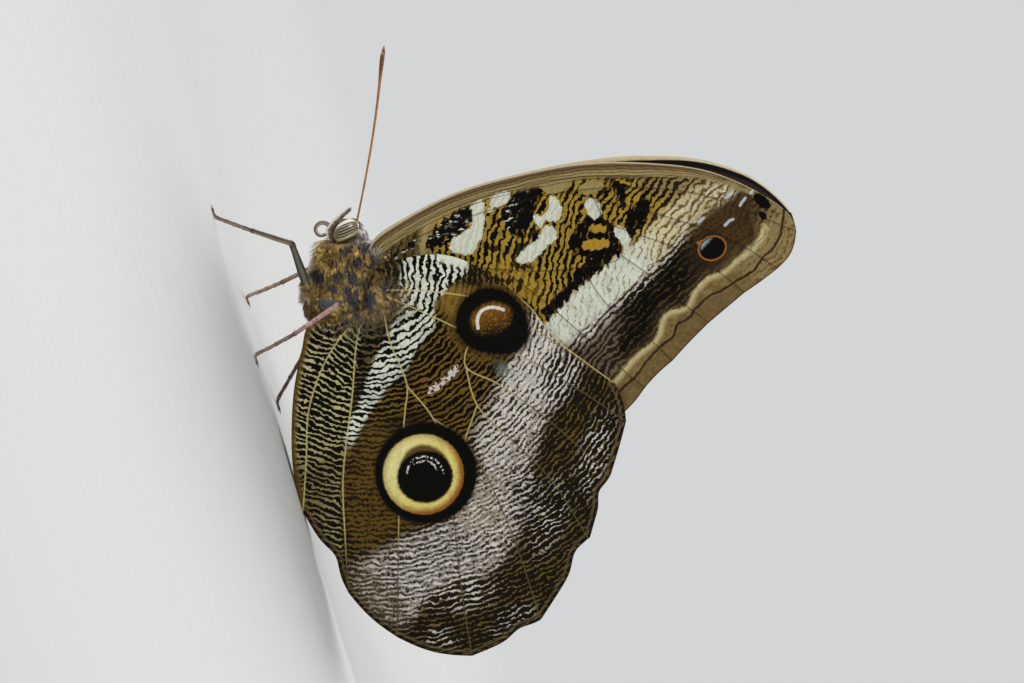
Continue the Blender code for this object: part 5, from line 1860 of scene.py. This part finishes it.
def tongue_finish():
    paint = Recipe("tongue_horn_painted_shade")
    ring = paint.sine(paint.field("reach"), TONGUE_RINGS)
    # painted light and shade: the outer side of the coil pale, the inner side of the coil dark
    edge = paint.add(paint.sine(paint.field("around")), paint.noise(0.6))
    paint.colour = paint.blend(paint.step(edge, -0.6, 0.7), (96, 86, 68), (172, 160, 140))
    paint.lay(paint.step(ring, 0.0, 1.0), (70, 60, 46), 0.35)
    paint.bump(ring, 0.015, 0.6)
    return paint.finish(paint.add(0.34, paint.times(ring, 0.04)), Coat_Weight=0.2, Coat_Roughness=0.25)


mesh, _ = limb_mesh("proboscis", *coil_points(), 0.1, 16)
tongue = add_piece("proboscis_coil", mesh, tongue_finish(), "proboscis", "proboscis")
print(tongue.name, len(mesh.polygons), "faces")

# %% Palps
PALP_PATH = ((-24.6, 18.6), (-26.3, 18.6), (-27.6, 19.9), (-28.4, 21.5), (-29.1, 23.2))
PALP_RADII = (0.5, 0.5, 0.46, 0.38, 0.2)
PALP_OUT = 1.25
PALP_HAIRS = 900


def palp_finish():
    paint = Recipe("palp_hair")
    paint.colour = paint.blend(paint.step(paint.noise(0.5, 2.0), -0.15, 0.2), (84, 68, 58), (126, 110, 100))
    paint.lay(paint.ramp("front", 0.15, 0.7, paint.noise(0.5, 2.0, gain=0.8)), (246, 236, 220))
    paint.lay(paint.ramp("along", 0.72, 0.9, paint.noise(0.6, gain=0.25)), (84, 64, 54), 0.7)
    strand = paint.noise(0.2, 2.0, shift=3.0)
    paint.bump(strand, 0.03, 0.6)
    return paint.finish(paint.add(0.6, paint.times(strand, 0.3)), Sheen_Weight=0.3, Sheen_Roughness=0.4)


def palp_front(points):
    """Positive toward the front and lower edge of the palp."""
    flat = points[:, (0, 2)]
    path = np.array([tuple(p) for p in smooth_path(PALP_PATH, 0.3)])
    near = np.argmin(np.hypot(*(flat[:, None] - path[None]).transpose(2, 0, 1)), axis=1)
    run = np.gradient(path, axis=0)[near]
    run /= np.hypot(*run.T)[:, None]
    return ((flat - path[near]) * np.stack((-run[:, 1], run[:, 0]), 1)).sum(axis=1) * 3.0


palp_coat = palp_finish()
for side, sign in SIDES.items():
    name = "palp_" + side
    path = [(x, sign * PALP_OUT, z) for x, z in PALP_PATH]
    mesh, rings = limb_mesh(name, path, PALP_RADII, 0.15, 16, lambda t, s: 0.82)
    store(mesh, {"front": palp_front(mesh_points(mesh))})
    add_piece(name + "_core", mesh, palp_coat, "palp", name)
    root, normal, rng = scatter(mesh, PALP_HAIRS, 21)
    run, share, uv = limb_roots(root, rings)
    lie = run + rng.normal(0, 0.03, (PALP_HAIRS, 3))
    length = rng.uniform(0.4, 0.75, PALP_HAIRS)
    width = rng.uniform(0.05, 0.085, PALP_HAIRS)
    tufts = (root, normal, lie, length, width, {"front": palp_front(root), "along": share}, uv, 0.3)
    hair = add_hair(name + "_hair", palp_coat, "palp", tufts, name)
    print(hair.name, len(hair.data.polygons), "faces")

# %% [markdown]
# ## Walking legs
# The animal stands on its middle and hind legs. The thigh is clothed in olive scales, the shin is
# thin with rows of spines, and the foot is five short joints that end in two claws. Each part has a
# pale streak painted along one side as a highlight. Each part takes the place of its own solid, so it
# keeps the same joints. The five foot joints are a swelling of the radius, and the spines are real points.

# %% Leg places and finishes
FOOT_Y = 13.5
FOOT_Z = 0.18
LEGS = {
    "midleg_left": ((-16.6, 2.2, 12.2), (-26.6, 7.5, 11.9), (-31.2, 11.6, 5.7), (-36.2, FOOT_Y, FOOT_Z)),
    "midleg_right": ((-16.8, 2.2, 13.2), (-20.6, 9.6, 16.0), (-18.9, 12.6, 7.2), (-17.4, FOOT_Y, FOOT_Z)),
    "hindleg_left": ((-14.4, 2.2, 12.8), (-13.9, 9.2, 17.2), (-11.0, 12.2, 7.8), (-8.7, FOOT_Y, FOOT_Z)),
    "hindleg_right": ((-14.4, 2.2, 12.4), (-13.8, 8.6, 14.6), (-4.5, 12.2, 6.8), (2.8, FOOT_Y, FOOT_Z)),
}
# ground, darker clouds and pale streak of each part; the streak is a painted highlight
LEG_HUES = {
    ("mid", "femur"): ("mid_thigh_scales", (54, 51, 41), (32, 30, 25), (106, 101, 82)),
    ("mid", "tibia"): ("mid_shin_scales", (88, 74, 62), (58, 48, 42), (142, 124, 108)),
    ("mid", "tarsus"): ("mid_foot_scales", (86, 70, 60), (52, 42, 38), (140, 120, 106)),
    ("hind", "femur"): ("hind_thigh_scales", (84, 86, 90), (46, 48, 54), (186, 190, 192)),
    ("hind", "tibia"): ("hind_shin_scales", (176, 142, 136), (128, 96, 90), (250, 238, 232)),
    ("hind", "tarsus"): ("hind_foot_scales", (122, 98, 90), (80, 60, 54), (206, 184, 172)),
    # the far middle leg's shin and foot: a lighter copy of the near leg's colours, painted light; the near
    # one is the shaded copy
    ("far", "tibia"): ("far_mid_shin_painted_light", (168, 142, 122), (122, 98, 84), (206, 184, 162)),
    ("far", "tarsus"): ("far_mid_foot_painted_light", (168, 142, 122), (122, 98, 84), (206, 184, 162)),
}


def leg_finish(name, ground, dark, painted_highlight):
    """Scaled leg: clouded ground, a pale streak painted along one side as a highlight, darker ends."""
    paint = Recipe(name)
    cloud = paint.noise(0.8, 2.0, 0.6)
    paint.colour = paint.blend(paint.step(cloud, -0.15, 0.2), ground, dark)
    turn = paint.add(paint.field("around"), paint.noise(2.5, gain=0.12))
    band = paint.math("ABSOLUTE", paint.minus(turn, 0.5))
    # painted highlight: a pale streak along one side of the limb
    paint.lay(paint.step(band, 0.12, 0.05), painted_highlight, 0.85)
    ends = paint.math("ABSOLUTE", paint.minus(paint.field("along"), 0.5))
    paint.lay(paint.step(ends, 0.43, 0.49), (44, 34, 28), 0.75)
    scales = paint.cells(0.14, (1.0, 1.0, 1.6))
    paint.bump(paint.times(scales, -1.0), 0.02, 0.7)
    return paint.finish(paint.add(0.5, paint.times(scales, 0.2)), Sheen_Weight=0.15,
                        Sheen_Roughness=0.4, Specular_IOR_Level=0.4)


LEG_FINISHES = {key: leg_finish(*hues) for key, hues in LEG_HUES.items()}
print("leg finishes:", len(LEG_FINISHES))

# %% Leg parts
def thigh_swell(t, s):
    return (0.66 - 0.12 * float(bell(t, 0.07)) + 0.1 * float(bell(t - 0.35, 0.3))
            + 0.1 * float(bell(t - 0.97, 0.05)))


def shin_swell(t, s):
    return 0.74 + 0.18 * float(bell(t, 0.06)) + 0.14 * float(bell(t - 0.97, 0.05))


def foot_swell(t, s):
    joint = (t * 5.0) % 1.0
    return 0.8 + 0.2 * joint ** 2 - 0.12 * float(bell(joint, 0.12))


# rows round the limb, then spacing, length and width in mm, and how far they lean
SPINES = {
    "femur": (((0.1, 0.3, 0.5, 0.7, 0.9), 0.34, 0.3, 0.05, 2.0),),
    "tibia": (((0.08, 0.22, 0.42, 0.58, 0.78, 0.92), 0.8, 0.42, 0.05),
              ((0.15, 0.85), 9.0, 1.0, 0.07, 0.9, 0.9, 0.97)),
    "tarsus": (((0.12, 0.38, 0.62, 0.88), 0.5, 0.24, 0.04),),
}


def claws(mesh, rings, size=0.75, sides=6, steps=4):
    """Two small hooks at the end of the foot."""
    centres, frames = rings[:2]
    run = frames[-1][0]
    flat = Vector((run.x, run.y, 0)).normalized()
    side = Vector((-flat.y, flat.x, 0))
    bm = bmesh.new()
    bm.from_mesh(mesh)
    at, reach = bm.verts.layers.float["along"], bm.verts.layers.float["reach"]
    for way in (-1, 1):
        last = None
        for k in range(steps + 1):
            t = k / steps
            spot = centres[-1] + flat * (size * t) + side * way * (0.1 + 0.32 * math.sin(1.4 * t))
            spot.z = max(0.05, 0.2 + 0.12 * math.sin(math.pi * t) - 0.16 * t)
            r = 0.085 * (1 - t) + 0.012
            ring = [bm.verts.new((spot + (side * math.cos(b) + Vector((0, 0, 1)) * math.sin(b)) * r) * MM)
                    for b in (2 * math.pi * j / sides for j in range(sides))]
            for v in ring:
                v[at], v[reach] = 1.0, t
            if last:
                for j in range(sides):
                    n = (j + 1) % sides
                    bm.faces.new((last[j], last[n], ring[n], ring[j]))
            else:
                bm.faces.new(ring)
            last = ring
        bm.faces.new(last[::-1])
    bmesh.ops.recalc_face_normals(bm, faces=bm.faces[:])
    bm.to_mesh(mesh)
    bm.free()


print("rows of spines:", {part: sum(len(s[0]) for s in sets) for part, sets in SPINES.items()})

# %% Hip hair and whole legs
def hip_hair(name, mesh, sign, count=620, locks=60):
    """Locks of the coat that hide where the thigh leaves the chest."""
    along = np.zeros(len(mesh.vertices), np.float32)
    mesh.attributes["along"].data.foreach_get("value", along)
    root, normal, rng = scatter(mesh, count, 51, np.clip(1.0 - along / 0.3, 0.0, 1.0) ** 1.5)
    lie = np.tile(np.array((0.5, sign * 0.25, -0.35)), (count, 1)) + rng.normal(0, 0.25, (count, 3))
    length = rng.uniform(0.9, 1.7, count)
    coat = body_fields(root)
    lie, coat["lock"] = into_locks(root, lie, length, rng, locks)
    turn = np.arctan2(root[:, 1], root[:, 2] - 12.5) / (2 * math.pi) + 0.5
    uv = np.stack((0.05 + 0.9 * turn, 0.05 + 0.9 * np.clip((root[:, 0] + 20.0) / 8.0, 0, 1)), 1)
    width = rng.uniform(0.06, 0.1, count)
    add_hair(name + "_hip_hair", COAT, "thorax", (root, normal, lie, length, width, coat, uv, 0.5))


def leg_parts(root, knee, ankle, toe, sign):
    """Path, radii and swelling of thigh, shin and foot between four joints."""
    root, knee, ankle, toe = [Vector((x, sign * y, z)) for x, y, z in (root, knee, ankle, toe)]
    run = (toe - ankle).normalized()
    flat = Vector((run.x, run.y, 0)).normalized() * 1.6
    land = toe - flat * 0.4 + Vector((0, 0, 0.06))
    bow = knee.lerp(ankle, 0.5) + Vector((0, sign * 0.3, 0))
    sag = ankle.lerp(land, 0.55) + Vector((0, 0, -0.2))
    yield "femur", (root, root.lerp(knee, 0.5), knee), (1.0, 1.05, 0.8), thigh_swell
    yield "tibia", (knee, bow, ankle), (0.62, 0.6, 0.5), shin_swell
    yield "tarsus", (ankle, sag, land, toe + flat * 0.6), (0.44, 0.4, 0.36, 0.24), foot_swell


def walking_leg(name, joints, sign):
    for part, points, radii, swell in leg_parts(*joints, sign):
        mesh, rings = limb_mesh(name + "_" + part, points, radii, 0.16, 18, swell, on_floor=True)
        for rows in SPINES[part]:
            add_spines(mesh, rings, *rows)
        if part == "tarsus":
            claws(mesh, rings)
        pair = "mid" if name.startswith("mid") else "hind"
        # the far middle leg's shin and foot take the lighter copy of the colours, painted light
        if name == "midleg_right" and part != "femur":
            pair = "far"
        add_piece(name + "_" + part + "_scaled", mesh, LEG_FINISHES[pair, part], part, name + "_" + part)
        if part == "femur":
            hip_hair(name, mesh, sign)
        print(name, part, "has", len(mesh.polygons), "faces")


for name, joints in LEGS.items():
    walking_leg(name, joints, SIDES[name.split("_")[1]])

# %% [markdown]
# ## The folded forelegs
# Brush-footed butterflies walk on four legs. Their front pair is small, furry and folded against
# the breast like a brush, hardly seen in the coat. Each is a short bent tube with long hair. The
# hair could have a finish of its own, but the coat's finish makes the pair melt into the breast.

# %% Forelegs
FORELEG = ((-20.0, 3.2, 16.8), (-21.9, 3.4, 15.6), (-23.9, 2.6, 16.8), (-24.9, 2.1, 18.3))
FORELEG_RADII = (0.6, 0.6, 0.55, 0.3)
FORELEG_HAIRS = 1300
FORELEG_LOCKS = 110
for side, sign in SIDES.items():
    name = "foreleg_" + side
    path = [(x, sign * y, z) for x, y, z in FORELEG]
    mesh, rings = limb_mesh(name, path, FORELEG_RADII, 0.16, 16, lambda t, s: 0.6)
    store(mesh, {k: v for k, v in body_fields(mesh_points(mesh)).items() if k != "along"})
    add_piece(name + "_core", mesh, skin.data.materials[0], "foreleg", name)
    root, normal, rng = scatter(mesh, FORELEG_HAIRS, 31)
    uv = limb_roots(root, rings)[2]
    lie = np.array((0.75, 0.0, -0.5)) + rng.normal(0, 0.2, (FORELEG_HAIRS, 3))
    length = rng.uniform(0.9, 1.7, FORELEG_HAIRS)
    coat = body_fields(root)
    lie, coat["lock"] = into_locks(root, lie, length, rng, FORELEG_LOCKS)
    width = rng.uniform(0.06, 0.1, FORELEG_HAIRS)
    tufts = (root, normal, lie, length, width, coat, uv, 0.5)
    hair = add_hair(name + "_hair", COAT, "foreleg", tufts, name)
    print(hair.name, len(hair.data.polygons), "faces")
